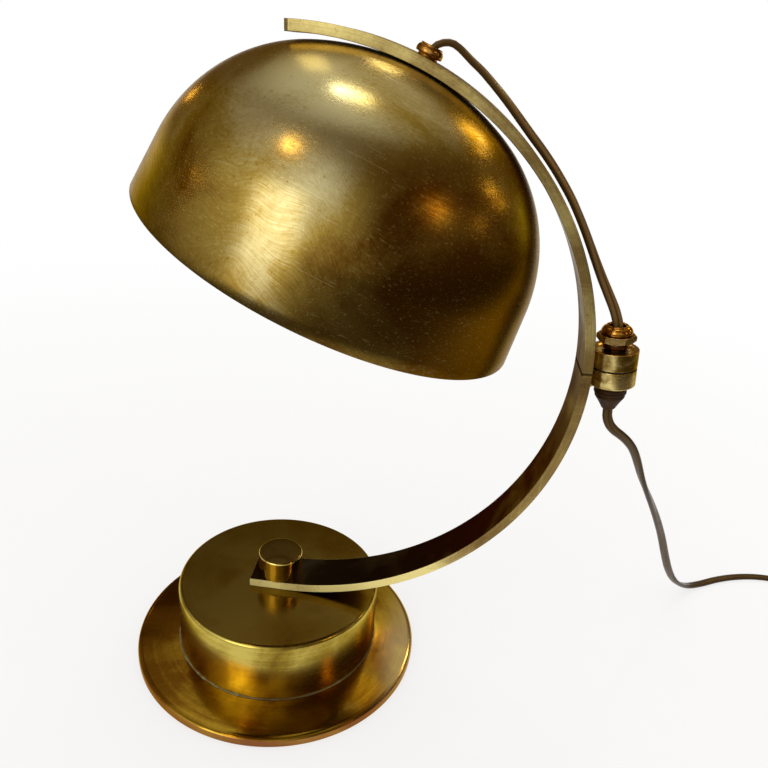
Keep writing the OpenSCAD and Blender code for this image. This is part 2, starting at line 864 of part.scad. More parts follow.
// Half section of the shade, drawn inwards by the sheet's thickness
// The shoulder's wedge laps under its neighbours, where its circle stays inside theirs
module shade_section(inset) {
    low_z = inset > 0 ? -1 : 0;
    lap = 2;
    skirt_x = shade_r - inset / cos(flare);
    tangent = [shoulder_x, shoulder_z] + (shoulder_r - inset) * [cos(flare), sin(flare)];
    intersection() {
        union() {
            translate([0, shade_h - crown_r])
                intersection() {
                    circle(r = crown_r - inset, $fn = 360);
                    polygon(wedge(2 * crown_r, 90 - crown_half_angle, 90 + lap));
                }
            translate([shoulder_x, shoulder_z])
                intersection() {
                    circle(r = shoulder_r - inset, $fn = 360);
                    polygon(wedge(2 * shoulder_r, flare - lap, 90 - crown_half_angle + lap));
                }
            polygon([
                [0, low_z], [skirt_x - low_z * tan(flare), low_z], tangent,
                [shoulder_x, shoulder_z], [0, shoulder_z]
            ]);
            square([shoulder_x, shoulder_z + 1]);
        }
        translate([0, low_z])
            square([2 * shade_r, 2 * shade_h]);
    }
}
// Spun dome shade
module shade() {
    color("#a88230")
        in_shade()
            difference() {
                rotate_extrude($fn = 240)
                    difference() {
                        shade_section(0);
                        shade_section(shade_wall);
                    }
                translate([0, 0, shade_h - 4])
                    cylinder(r = nipple_r + slip / 2, h = 6);
            }
}
// Hollow threaded nipple that hangs shade and lampholder from the bar
module shade_nipple() {
    color("#b3923f")
        in_shade()
            ring(nipple_r, nipple_bore / 2, nipple_low, nipple_high);
}
// Washer inside the crown
module seat_washer() {
    color("#b0893a")
        in_shade()
            ring(seat_washer_d / 2, nipple_thread_r, seat_washer_low, seat_washer_low + seat_washer_t);
}
// Nut inside the crown
module seat_nut() {
    color("#b99748")
        in_shade()
            hex_nut(seat_nut_af, nipple_thread_r, seat_nut_low, seat_washer_low);
}
// Bell-shaped cap of the lampholder, screwed on the nipple
module holder_cap() {
    neck_r = nipple_thread_r + holder_neck_wall;
    shoulder_h = holder_cap_h - holder_neck_h;
    color("#1d1a18")
        in_shade()
            translate([0, 0, sleeve_top])
                difference() {
                    rotate_extrude()
                        difference() {
                            polygon([
                                [0, 0], [holder_r, 0], [holder_r, shoulder_h * 0.55],
                                [holder_r - 1.4, shoulder_h * 0.85], [neck_r + 1.2, shoulder_h],
                                [neck_r, shoulder_h + 1.5], [neck_r, holder_cap_h], [0, holder_cap_h]
                            ]);
                            polygon([
                                [-1, -1], [holder_r - holder_wall, -1],
                                [holder_r - holder_wall, shoulder_h * 0.5],
                                [neck_r - 1, shoulder_h - 2], [-1, shoulder_h - 2]
                            ]);
                        }
                    translate([0, 0, shoulder_h - 3])
                        cylinder(r = nipple_thread_r, h = holder_neck_h + 5);
                }
}
// Sleeve of the lampholder round the screw shell
module holder_sleeve() {
    lip_w = 2.4;
    color("#1d1a18")
        in_shade()
            translate([0, 0, sleeve_low])
                rotate_extrude()
                    difference() {
                        square([holder_r, holder_sleeve_h - 0.1]);
                        translate([-1, 1.5])
                            square([holder_r - holder_wall + 1, holder_sleeve_h]);
                        translate([-1, -1])
                            square([holder_r - holder_wall - lip_w + 1, 3]);
                    }
}
// Ceramic block that carries the contacts
module contact_block() {
    color("#e6e0d2")
        in_shade()
            difference() {
                translate([0, 0, block_low])
                    cylinder(r = holder_r - holder_wall - slip, h = block_t);
                for (s = [-1, 1])
                    translate([0, s * 6, block_low - 1])
                        cylinder(r = 1.1, h = block_t + 2);
            }
}
// Threaded shell that takes the bulb
module screw_shell() {
    color("#c9a14a")
        in_shade()
            ring(shell_in + shell_wall, shell_in, sleeve_low + 3, block_low);
}
// Springy centre contact
module centre_contact() {
    color("#d0a84e")
        in_shade()
            translate([-2.2, -2.2, block_low - contact_h])
                cube([4.4, 4.4, contact_h]);
}
// Screw cap of the bulb, closed at its upper end
module bulb_cap() {
    neck_r = bulb_cap_r - 0.5;
    color("#b9b2a0")
        in_shade()
            translate([0, 0, bulb_cap_low])
                difference() {
                    rotate_extrude()
                        polygon([
                            [0, 0], [bulb_cap_r, 0], [bulb_cap_r, bulb_cap_h - 3],
                            [3.2, bulb_cap_h], [0, bulb_cap_h]
                        ]);
                    translate([0, 0, -1])
                        cylinder(r = neck_r, h = bulb_cap_h - 3);
                }
}
// Contact button of the bulb
module bulb_contact() {
    color("#8f8b80")
        in_shade()
            translate([0, 0, bulb_cap_top])
                cylinder(r = 2.2, h = bulb_button_h);
}
// Opal globe, blown with a neck that sits in the screw cap
module globe_section(inset) {
    neck_r = bulb_cap_r - 0.5 - 0.1 - inset;
    throat = globe_r * 0.58;
    intersection() {
        union() {
            translate([0, globe_z])
                circle(r = globe_r - inset, $fn = 128);
            translate([0, globe_z])
                square([neck_r, bulb_cap_low + 4 - globe_z]);
            polygon([
                [0, globe_z], [throat * 1.34 - inset, globe_z + throat], [neck_r, bulb_cap_low - 1],
                [0, bulb_cap_low - 1]
            ]);
        }
        translate([0, globe_z - globe_r - 1])
            square([globe_r + 1, 3 * globe_r]);
    }
}
module bulb_glass() {
    color("#f4efe2", 0.6)
        in_shade()
            rotate_extrude()
                difference() {
                    globe_section(0);
                    globe_section(glass_t);
                }
}
// Glass stem inside the bulb, flared out to the neck of the globe
module bulb_stem() {
    flare_r = bulb_cap_r - 0.6 - glass_t - 0.1;
    flare_z = bulb_cap_low + 3;
    color("#dfe6e8", 0.6)
        in_shade()
            rotate_extrude()
                polygon([
                    [0, stem_low], [stem_r, stem_low], [stem_r, flare_z - 3],
                    [flare_r, flare_z - 0.6], [flare_r, flare_z], [0, flare_z]
                ]);
}
// Filament between two support wires that come out of the stem
module bulb_filament() {
    span = 12;
    wire_r = 0.6;
    drop = stem_low - globe_z;
    lean = atan((span / 2 - 1.2) / drop);
    color("#6a6a6c")
        in_shade()
            translate([0, 0, globe_z])
                difference() {
                    union() {
                        rotate([0, 90, 0])
                            cylinder(r = wire_r, h = span, center = true, $fn = 24);
                        for (s = [-1, 1])
                            translate([s * span / 2, 0, 0])
                                rotate([0, -s * lean, 0])
                                    cylinder(r = wire_r, h = 2 * drop, $fn = 24);
                    }
                    translate([-span, -span, drop])
                        cube(2 * span);
                }
}
// Lead from the hinge over the bar and down into the lampholder
module arm_lead() {
    color("#8a6a2c")
        flex(route_lead);
}
// Two cores of the lead, from its end to the contact block
module holder_wires() {
    high = nipple_low - 1;
    low = block_low + block_t;
    core_gap = 1.3;
    spread = 6;
    lean = atan((spread - core_gap) / (high - low));
    color("#5b3b22")
        in_shade()
            intersection() {
                for (s = [-1, 1])
                    translate([0, s * core_gap, high])
                        rotate([s * lean, 0, 0])
                            cylinder(r = 0.9, h = 4 * (high - low), center = true, $fn = 24);
                translate([0, 0, (high + low) / 2])
                    cube([4, 4 * spread, high - low], center = true);
            }
}
// Mains flex from the hinge to the switch
module cord_run() {
    color("#8a6a2c")
        flex(route_run);
}
// Mains flex from the switch to the coil
module cord_link() {
    color("#8a6a2c")
        flex(route_link);
}
// The rest of the flex, wound flat side inwards
module cord_coil() {
    color("#8a6a2c")
        tube(coil_tube, 6);
}
// Mains flex from the coil to the plug
module cord_tail() {
    color("#8a6a2c")
        flex(route_tail);
}
// Band that ties the coil's turns, on the side away from the switch
module cord_tie() {
    bundle_out = coil_radius(0.5) + flex_t / 2 + slip;
    bundle_in = coil_radius(coil_turns / 2) - flex_t / 2 - 3 * slip;
    bundle_h = layer_pitch + flex_w + slip;
    color("#2b2b2d")
        translate([coil_x, coil_y, 0])
            rotate([90, 0, 0])
                linear_extrude(height = tie_w, center = true)
                    difference() {
                        translate([-bundle_out - tie_t, 0])
                            square([bundle_out - bundle_in + 2 * tie_t, bundle_h + 2 * tie_t]);
                        translate([-bundle_out, tie_t])
                            square([bundle_out - bundle_in, bundle_h]);
                    }
}
// Outline of the flex switch from above, its ends drawn in
module switch_outline(inset) {
    l = switch_l / 2 - inset;
    w = switch_w / 2 - inset;
    polygon([
        [w, -l * 0.45], [w, l * 0.45], [w * 0.86, l * 0.72], [w * 0.45, l], [-w * 0.45, l],
        [-w * 0.86, l * 0.72], [-w, l * 0.45], [-w, -l * 0.45], [-w * 0.86, -l * 0.72],
        [-w * 0.45, -l], [w * 0.45, -l], [w * 0.86, -l * 0.72]
    ]);
}
// Opening for the flex at both ends of the switch
module switch_entries() {
    opening_w = flex_w + 2 * slip;
    opening_t = flex_t + 2 * slip;
    translate([0, 0, switch_cord_z])
        cube([opening_w, switch_l + 2, opening_t], center = true);
}
// Lower shell of the flex switch, with two screw bosses
module switch_base() {
    color("#241f1b")
        translate([switch_x, switch_y, 0])
            difference() {
                union() {
                    difference() {
                        linear_extrude(height = switch_split)
                            switch_outline(0);
                        translate([0, 0, switch_wall])
                            linear_extrude(height = switch_h)
                                switch_outline(switch_wall);
                    }
                    for (s = [-1, 1])
                        translate([s * switch_w * 0.3, s * switch_l * 0.24, 0.5])
                            cylinder(r = 3, h = switch_split - 0.5);
                }
                for (s = [-1, 1])
                    translate([s * switch_w * 0.3, s * switch_l * 0.24, -1]) {
                        cylinder(r = 1.6, h = switch_split + 2);
                        cylinder(r = 2.8, h = 2.6);
                    }
                switch_entries();
            }
}
// Upper shell of the flex switch, with the rocker's window
module switch_cover() {
    color("#2a2420")
        translate([switch_x, switch_y, 0])
            difference() {
                union() {
                    difference() {
                        translate([0, 0, switch_split])
                            linear_extrude(height = switch_h - switch_split)
                                switch_outline(0);
                        translate([0, 0, switch_split - 1])
                            linear_extrude(height = switch_h - switch_split - switch_wall + 1)
                                switch_outline(switch_wall);
                    }
                    for (s = [-1, 1])
                        translate([s * switch_w * 0.3, s * switch_l * 0.24, switch_split])
                            cylinder(r = 3, h = switch_h - switch_split - 1);
                    for (s = [-1, 1])
                        translate([s * (rocker_w / 2 + slip + 1), 0, rocker_axis_z - 1])
                            cube([2, 7, 5], center = true);
                }
                translate([0, 0, switch_h])
                    cube([rocker_w + 2 * slip, rocker_l + 2 * slip, 4 * switch_wall], center = true);
                for (s = [-1, 1])
                    translate([s * switch_w * 0.3, s * switch_l * 0.24, switch_split - 1])
                        cylinder(r = 1.3, h = switch_h - switch_split - 2);
                translate([0, 0, rocker_axis_z])
                    rotate([0, 90, 0])
                        cylinder(r = rocker_pin_d / 2 + 0.1, h = rocker_w + 2 * slip + 3,
                            center = true, $fn = 48);
                switch_entries();
            }
}
// Rocker on its two stub pins, tipped to off
module switch_rocker() {
    half = rocker_l / 2;
    color("#15110f")
        translate([switch_x, switch_y, rocker_axis_z])
            rotate([-rocker_travel / 2, 0, 0])
                union() {
                    rotate([90, 0, 90])
                        linear_extrude(height = rocker_w, center = true)
                            polygon([
                                [-half, 2.4], [0, 0.9], [half, 2.4], [half - 1, -1], [2, -rocker_depth + 1],
                                [-2, -rocker_depth + 1], [-half + 1, -1]
                            ]);
                    rotate([0, 90, 0])
                        cylinder(r = rocker_pin_d / 2, h = rocker_w + 2 * slip + 2, center = true, $fn = 48);
                }
}
// Two screws that hold the switch's shells together
module switch_screws() {
    color("#a9abad")
        translate([switch_x, switch_y, 0])
            for (s = [-1, 1])
                translate([s * switch_w * 0.3, s * switch_l * 0.24, 0]) {
                    translate([0, 0, 0.4])
                        cylinder(r = 2.6, h = 1.1);
                    translate([0, 0, 1.5])
                        cylinder(r = 1.25, h = switch_h - 5);
                }
}
// Flat two-pin plug body, narrower towards the flex
module plug_body() {
    w = plug_w / 2;
    edge = 2;
    color("#1e1b19")
        translate([switch_x, plug_start_y - plug_relief_l, plug_z])
            difference() {
                intersection() {
                    translate([0, 0, -plug_t / 2])
                        linear_extrude(height = plug_t)
                            polygon([
                                [-6, 0], [6, 0], [w - 3, -plug_l * 0.4], [w, -plug_l * 0.62],
                                [w, -plug_l + 3], [w - 3, -plug_l], [-w + 3, -plug_l],
                                [-w, -plug_l + 3], [-w, -plug_l * 0.62], [-w + 3, -plug_l * 0.4]
                            ]);
                    rotate([90, 0, 0])
                        linear_extrude(height = plug_l + 1)
                            polygon([
                                [w, -plug_t / 2 + edge], [w, plug_t / 2 - edge], [w - edge, plug_t / 2],
                                [-w + edge, plug_t / 2], [-w, plug_t / 2 - edge], [-w, -plug_t / 2 + edge],
                                [-w + edge, -plug_t / 2], [w - edge, -plug_t / 2]
                            ]);
                }
                for (s = [-1, 1])
                    translate([s * pin_gap / 2, -plug_l + 9, 0])
                        rotate([90, 0, 0])
                            cylinder(r = pin_d / 2 + screwed, h = 20);
            }
}
// Tapered flex relief of the plug
module plug_relief() {
    color("#1e1b19")
        translate([switch_x, plug_start_y, plug_z])
            rotate([90, 0, 0])
                rotate_extrude()
                    polygon([
                        [flex_w / 2 + slip, 0], [flex_w / 2 + slip + 0.7, 0],
                        [5.4, plug_relief_l], [flex_w / 2 + slip, plug_relief_l]
                    ]);
}
// Two round pins with blunt ends
module plug_pins() {
    color("#c8c3b4")
        for (s = [-1, 1])
            translate([switch_x + s * pin_gap / 2, plug_start_y - plug_relief_l - plug_l + 8.9, plug_z])
                rotate([90, 0, 0])
                    rotate_extrude()
                        polygon([
                            [0, 0], [pin_d / 2, 0], [pin_d / 2, pin_l + 7.9],
                            [pin_d / 2 - 1, pin_l + 8.9], [0, pin_l + 8.9]
                        ]);
}

felt_pad();
base_plate();
base_flange();
base_drum();
base_weight();
clamp_stud();
clamp_washer();
clamp_nut();
cap_nut();
lower_arm();
lower_disc();
friction_washer();
pivot_tube();
pivot_collar();
lock_nut();
flex_dome();
gland_ring();
gland_relief();
upper_disc();
upper_arm();
shade();
shade_nipple();
flex_outlet();
seat_washer();
seat_nut();
holder_cap();
holder_sleeve();
contact_block();
screw_shell();
centre_contact();
bulb_cap();
bulb_contact();
bulb_glass();
bulb_stem();
bulb_filament();
arm_lead();
holder_wires();
cord_run();
cord_link();
cord_coil();
cord_tail();
cord_tie();
switch_base();
switch_cover();
switch_rocker();
switch_screws();
plug_body();
plug_relief();
plug_pins();
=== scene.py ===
# Brass table lamp: a bent flat bar on a weighted drum base, a swivel hinge half way up,
# and a spun dome shade under the bar's upper end. Sizes are in millimetres unless told.
from math import asin, cos, exp, pi, radians, sin, sqrt
import bpy
import bmesh
from bmesh.types import BMEdge, BMFace, BMVert
from mathutils import Euler, Matrix, Vector


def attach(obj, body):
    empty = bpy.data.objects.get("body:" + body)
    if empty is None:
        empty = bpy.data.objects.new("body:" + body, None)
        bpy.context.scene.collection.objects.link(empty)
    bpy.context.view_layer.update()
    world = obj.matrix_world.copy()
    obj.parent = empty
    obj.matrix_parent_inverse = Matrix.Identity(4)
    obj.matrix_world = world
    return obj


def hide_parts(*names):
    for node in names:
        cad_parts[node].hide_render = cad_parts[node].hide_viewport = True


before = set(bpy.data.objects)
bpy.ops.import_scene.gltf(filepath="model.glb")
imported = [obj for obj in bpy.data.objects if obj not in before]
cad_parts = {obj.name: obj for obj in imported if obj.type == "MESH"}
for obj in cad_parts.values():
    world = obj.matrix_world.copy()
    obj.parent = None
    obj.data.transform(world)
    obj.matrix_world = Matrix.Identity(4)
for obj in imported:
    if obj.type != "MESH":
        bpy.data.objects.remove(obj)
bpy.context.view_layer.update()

# The camera: a phone held a little above the lamp and looking slightly down at it, with the
# lens and the tilt that make the lamp's outline agree with the photograph.
camera = bpy.data.objects.new("camera", bpy.data.cameras.new("camera"))
camera.data.lens = 34.3
camera.data.sensor_width = 36
camera.location = (0.07805, -0.35227, 0.34363)
camera.rotation_euler = Euler((radians(65.346), radians(-4.570), radians(6.124)))
bpy.context.collection.objects.link(camera)
bpy.context.scene.camera = camera
bpy.context.scene.view_settings.view_transform = "Standard"

# Mains flex: flat twin flex in gold-brown plastic, two cores side by side with a shallow
# groove between them. It leaves the hinge downwards, lies on the table, and its spare length
# is coiled.
mm = 0.001
flex_w = 5.2
flex_t = 3.4
# Points of the route as [x, y, z, roll], from inside the hinge to the switch
route_run = [
    [168.2, 0, 207.4, 90], [169.4, 0, 196, 90], [170.3, 0, 186.5, 90], [171.0, 0.2, 179.5, 88],
    [173.3, 0.9, 174.2, 82], [177.0, 2.1, 170.2, 72], [181.6, 3.8, 166.7, 60],
    [186.2, 5.9, 162.6, 45], [190.5, 8.4, 157.4, 28], [194.2, 11, 151.2, 12],
    [197.7, 14, 144.2, 0], [201.4, 17.5, 136.6, -14], [205.6, 21.4, 128.8, -30],
    [210.4, 26, 120.6, -48], [215.6, 31, 111.8, -64], [221.0, 36.6, 102.4, -78],
    [226.6, 42.6, 92.2, -90], [232.2, 48.8, 81.4, -100], [237.8, 55, 69.8, -112],
    [243.4, 61.4, 57.6, -125], [249.2, 67.9, 45.2, -140], [255.4, 74.6, 33, -154],
    [262.4, 81.6, 21.6, -166], [270.8, 89.2, 11.8, -175], [281.2, 97.4, 4.8, -180],
    [293.6, 105.6, 1.9, -180], [307.4, 113.2, 1.7, -180], [322.2, 119.2, 1.7, -180],
    [337.6, 122.8, 1.7, -180], [352.8, 123.2, 1.7, -180], [367.0, 120.2, 1.7, -180],
    [379.4, 113.4, 2.1, -180], [389.0, 103.6, 3.1, -180], [394.8, 92.8, 4.4, -180],
    [397, 84, 5.6, -180], [397, 74, 5.6, -180],
]
# On through the switch to the coil, and from the coil to the plug
route_link = [
    [397, 56, 5.6, -180], [397, 38, 5.6, -180], [397, 20, 5.6, -180], [397, 14, 5.6, -178],
    [397, 9, 5.2, -168], [397, 3, 4.4, -150], [397, -4, 3.5, -125], [397, -11, 3.1, -102],
    [397, -18.8, 3.1, -90],
]
route_tail = [
    [397, -29.2, 8.8, -90], [397, -32, 8.8, -94], [397, -37, 8.5, -120], [397, -44, 7.7, -155],
    [397, -50, 7.1, -178], [397, -56, 7, -180], [397, -62, 7, -180],
]
# The coil goes in to its middle turn and out again, and climbs a layer on the way
coil_centre = (361.4, -24)
coil_r = 35.6
coil_turns = 7
coil_rings = 40
turn_gap = 4
layer_low = 3.1
layer_gap = 5.7


def coil_place(turn):
    """A point of the coil after so many turns, with its roll."""
    radius = coil_r - turn_gap * min(turn, coil_turns - turn)
    climb = min(max(turn - coil_turns / 2 + 0.25, 0) * 2, 1)
    return [
        coil_centre[0] + radius * cos(-2 * pi * turn),
        coil_centre[1] + radius * sin(-2 * pi * turn),
        layer_low + layer_gap * (0.5 - 0.5 * cos(pi * climb)),
        -90,
    ]


def eased(points, step):
    """Points on one smooth line through the route's points, about a step apart."""
    line = []
    for i in range(len(points) - 1):
        before, here = Vector(points[max(i - 1, 0)]), Vector(points[i])
        there, after = Vector(points[i + 1]), Vector(points[min(i + 2, len(points) - 1)])
        parts = max(1, round((there - here).length / step))
        for k in range(parts):
            t = k / parts
            spot = 0.5 * (2 * here + (there - before) * t
                          + (2 * before - 5 * here + 4 * there - after) * t * t
                          + (3 * here - before - 3 * there + after) * t ** 3)
            spot[3] = here[3] + (there[3] - here[3]) * t
            line.append(spot)
    line.append(Vector(points[-1]))
    return line


def flex_tube(name, line):
    """Extrudes the twin flex's section ring by ring along a line of [x, y, z, roll]."""
    mesh = bmesh.new()
    along = mesh.verts.layers.float.new("along")
    across = mesh.verts.layers.float.new("across")
    bmesh.ops.create_circle(mesh, cap_ends=True, segments=24, radius=1)
    for vert in mesh.verts:
        vert[across] = vert.co.x
        waist = 1 - 0.14 * exp(-(vert.co.x / 0.28) ** 2)
        full = abs(vert.co.y) ** 0.8 * waist * (1 if vert.co.y > 0 else -1)
        vert.co = (vert.co.x * flex_w / 2, full * flex_t / 2, 0)
    ends = mesh.edges[:]
    before = Matrix()
    gone = 0
    for i, spot in enumerate(line):
        here = spot.xyz
        ahead = (line[min(i + 1, len(line) - 1)].xyz - line[max(i - 1, 0)].xyz).normalized()
        level = ahead.cross(Vector((0, 0, 1))).normalized()
        up = level.cross(ahead)
        roll = radians(spot[3])
        wide = level * cos(roll) + up * sin(roll)
        thick = ahead.cross(wide)
        place = Matrix.Translation(here) @ Matrix((wide, thick, ahead)).transposed().to_4x4()
        if i:
            gone += (here - line[i - 1].xyz).length
            new = bmesh.ops.extrude_edge_only(mesh, edges=ends)["geom"]
            ring = only(new, BMVert)
            ends = [edge for edge in only(new, BMEdge)
                    if edge.verts[0] in ring and edge.verts[1] in ring]
        else:
            ring = mesh.verts[:]
        bmesh.ops.transform(mesh, matrix=place @ before.inverted(), verts=ring)
        for vert in ring:
            vert[along] = gone
        before = place
    bmesh.ops.contextual_create(mesh, geom=ends)
    bmesh.ops.recalc_face_normals(mesh, faces=mesh.faces)
    return made(name, mesh, Matrix())


def only(parts, kind):
    """The vertices, edges or faces among the parts that an operator gave back."""
    return [part for part in parts if isinstance(part, kind)]


def made(name, mesh, place):
    """Turns a bmesh in millimetres into an object that lies at its place in metres."""
    bmesh.ops.transform(mesh, matrix=Matrix.Scale(mm, 4) @ place, verts=mesh.verts)
    data = bpy.data.meshes.new(name)
    mesh.to_mesh(data)
    mesh.free()
    data.shade_smooth()
    piece = bpy.data.objects.new(name, data)
    bpy.context.collection.objects.link(piece)
    return piece


def add(tree, kind, inputs=None, **settings):
    """Adds one node, sets it, and joins or fills its inputs."""
    node = tree.nodes.new(kind)
    for name, value in settings.items():
        setattr(node, name, value)
    for key, value in (inputs or {}).items():
        if isinstance(value, bpy.types.NodeSocket):
            tree.links.new(value, node.inputs[key])
        else:
            node.inputs[key].default_value = value
    return node


def sums(tree, kind, *values, clamp=False):
    """One Math node."""
    return add(tree, "ShaderNodeMath", dict(enumerate(values)), operation=kind,
               use_clamp=clamp).outputs[0]


def blend(tree, share, first, second):
    """One colour mixed from two."""
    return add(tree, "ShaderNodeMix", {0: share, 6: first, 7: second},
               data_type="RGBA").outputs[2]


def noise(tree, spots, scale, detail=2.0, **more):
    """Cloudy noise, between 0 and 1."""
    return add(tree, "ShaderNodeTexNoise",
               {"Vector": spots, "Scale": scale, "Detail": detail, **more}).outputs[0]


def spread(tree, value, low, high, to_low=0.0, to_high=1.0):
    """Spreads a stretch of a value over another, smoothly and no further."""
    return add(tree, "ShaderNodeMapRange", {0: value, 1: low, 2: high, 3: to_low, 4: to_high},
               interpolation_type="SMOOTHSTEP").outputs[0]


def start(name):
    """A new material with its Principled shader, and the object's own coordinates."""
    material = bpy.data.materials.new(name)
    material.use_nodes = True
    tree = material.node_tree
    shader = tree.nodes["Principled BSDF"]
    spots = tree.nodes.new("ShaderNodeTexCoord").outputs["Object"]
    return material, tree, shader, spots


def surface(tree, shader, colour, rough=None, height=None, strength=1.0, depth=mm):
    """Feeds a shader its colour and, where given, its roughness and a relief."""
    feeds = {"Base Color": colour, "Roughness": rough}
    if height is not None:
        feeds["Normal"] = add(tree, "ShaderNodeBump", {
            "Strength": strength, "Distance": depth, "Height": height}).outputs[0]
    for name, value in feeds.items():
        if value is not None:
            tree.links.new(value, shader.inputs[name])


def flex_finish(name, crown, groove, shade):
    """Gold-brown plastic, painted lit along the crowns of its cores and painted in shade in the
    groove and along its sides, rubbed and soiled here and there.
    """
    material, tree, shader, spots = start(name)
    across = add(tree, "ShaderNodeAttribute", attribute_name="across").outputs["Fac"]
    along = add(tree, "ShaderNodeAttribute", attribute_name="along").outputs["Fac"]
    off = sums(tree, "ABSOLUTE", across)
    stretched = add(tree, "ShaderNodeCombineXYZ", {0: sums(tree, "MULTIPLY", across, 3.0),
                                                   1: sums(tree, "MULTIPLY", along, 0.05)})
    streak = noise(tree, stretched.outputs[0], 1.0, 4.0)
    soil = noise(tree, spots, 60.0, 5.0)
    # The crowns are painted lit, and the groove and the sides are painted in shade
    lit = spread(tree, off, 0.02, 0.34)
    colour = blend(tree, lit, groove, crown)
    colour = blend(tree, spread(tree, off, 0.7, 1.0), colour, shade)
    colour = blend(tree, spread(tree, streak, 0.42, 0.68, 0.0, 0.5), colour, shade)
    colour = blend(tree, spread(tree, soil, 0.55, 0.72, 0.0, 0.5), colour, groove)
    rough = sums(tree, "ADD", spread(tree, soil, 0.3, 0.7, 0.2, 0.36),
                 spread(tree, streak, 0.4, 0.7, 0.0, 0.08))
    surface(tree, shader, colour, rough, streak, 0.5, 0.0002)
    shader.inputs["Specular IOR Level"].default_value = 0.32
    shader.inputs["Specular Tint"].default_value = (1, 0.72, 0.4, 1)
    return material


coil_line = [Vector(coil_place(i / coil_rings)) for i in range(coil_turns * coil_rings + 1)]
mains_line = (eased(route_run, 3)[:-1] + eased(route_run[-1:] + route_link, 3) + coil_line
              + eased(route_tail, 3))
mains_flex = flex_tube("mains_flex", mains_line)
mains_flex.data.materials.append(
    flex_finish("flex, mains", (0.07, 0.038, 0.009, 1), (0.035, 0.018, 0.004, 1),
                (0.026, 0.013, 0.003, 1)))
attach(mains_flex, "base")
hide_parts("cord_run", "cord_link", "cord_coil", "cord_tail")

# Lead over the arm: the same flex, in one bow from the hinge's dome over the bar and down
# into the shade's nipple. It turns with the head.
route_lead = [
    [168.2, 207.8, 90], [167.2, 218, 90], [166.7, 223.9, 88], [166.1, 229, 84],
    [164.6, 233, 78], [162.3, 237.6, 72], [158.2, 244.4, 62], [153.8, 251.6, 52],
    [149.6, 258.9, 42], [145.5, 266.2, 34], [141.3, 273.6, 30], [136.9, 280.8, 28],
    [132.4, 287.6, 28], [127.2, 294.4, 28], [121.7, 301, 28], [115.7, 307.5, 28],
    [109.7, 313.5, 28], [103.5, 319.9, 26], [97.4, 326.1, 22], [90.8, 332.3, 16],
    [84.1, 338.1, 10], [79.8, 341.2, 6], [75.9, 344.3, 3], [73.2, 346.3, 0],
    [70.9, 347.6, 0], [68.6, 348.1, 0], [66, 347.8, 0], [63.5, 346.8, 0], [61.5, 345, 0],
    [60.1, 342.7, 0], [58.9, 339.6, 0], [56.3, 333, 0], [52.4, 323.3, 0],
]
lead_line = eased([[x, 0, z, roll] for x, z, roll in route_lead], 2)
arm_lead = flex_tube("lead_over_arm", lead_line)
arm_lead.data.materials.append(
    flex_finish("flex, lead", (0.15, 0.08, 0.022, 1), (0.05, 0.025, 0.006, 1),
                (0.05, 0.025, 0.006, 1)))
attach(arm_lead, "head")
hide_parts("arm_lead")

# Table and light: a white table top and backdrop, a large soft lamp at the left and small
# warm bulbs all round. The brass mirrors white behind the lamp, and in front and beside it
# a dim room with soft bright patches.
def looks(tree):
    """The kinds of ray, and 1 for all that the camera sees, mirrored or not."""
    sight = add(tree, "ShaderNodeLightPath").outputs
    beyond = sums(tree, "MAXIMUM", sight["Is Glossy Ray"], sight["Is Transmission Ray"])
    return sight, sums(tree, "MAXIMUM", sight["Is Camera Ray"], beyond)


floor_mesh = bmesh.new()
bmesh.ops.create_circle(floor_mesh, cap_ends=True, segments=96, radius=4000)
floor = made("floor", floor_mesh, Matrix())
material, tree, shader, spots = start("table top")
flecks = noise(tree, spots, 40.0)
ways = add(tree, "ShaderNodeSeparateXYZ", {0: spots}).outputs
wide = sums(tree, "ABSOLUTE", sums(tree, "SUBTRACT", ways[0], 0.1))
sight, seen = looks(tree)
# The table mirrors dark in front of the lamp and far out at its sides
near = sums(tree, "MULTIPLY", sight["Is Glossy Ray"],
            spread(tree, sums(tree, "MULTIPLY_ADD", wide, -1.2, ways[1]), -0.38, -0.8))
cloth = blend(tree, flecks, (0.86, 0.86, 0.86, 1), (0.9, 0.9, 0.9, 1))
cloth = blend(tree, near, cloth, (0.075, 0.05, 0.03, 1))
tree.links.new(cloth, shader.inputs["Base Color"])
shader.inputs["Roughness"].default_value = 0.8
shader.inputs["Specular IOR Level"].default_value = 0.2
away = add(tree, "ShaderNodeVectorMath", {0: spots}, operation="LENGTH").outputs["Value"]
# It fades to plain white away from the lamp, so that no edge of the table shows
plain = add(tree, "ShaderNodeEmission", {"Color": (1, 1, 1, 1)}).outputs[0]
share = sums(tree, "MULTIPLY", seen, spread(tree, away, 0.15, 1.0, 0.72, 1.0))
share = sums(tree, "MULTIPLY", share, sums(tree, "SUBTRACT", 1.0, near))
mixed = add(tree, "ShaderNodeMixShader", {0: share, 1: shader.outputs[0], 2: plain}).outputs[0]
tree.links.new(mixed, tree.nodes["Material Output"].inputs["Surface"])
floor.data.materials.append(material)


def soft_lamp(name, spot, width, height, watts, colour, aim=(0.06, 0, 0.2)):
    """A rectangular soft box that faces a point of the lamp."""
    light = bpy.data.lights.new(name, "AREA")
    light.shape = "RECTANGLE"
    light.size = width
    light.size_y = height
    light.energy = watts
    light.color = colour
    lamp = bpy.data.objects.new(name, light)
    lamp.location = spot
    lamp.rotation_euler = (Vector(aim) - Vector(spot)).to_track_quat("-Z", "Y").to_euler()
    bpy.context.collection.objects.link(lamp)


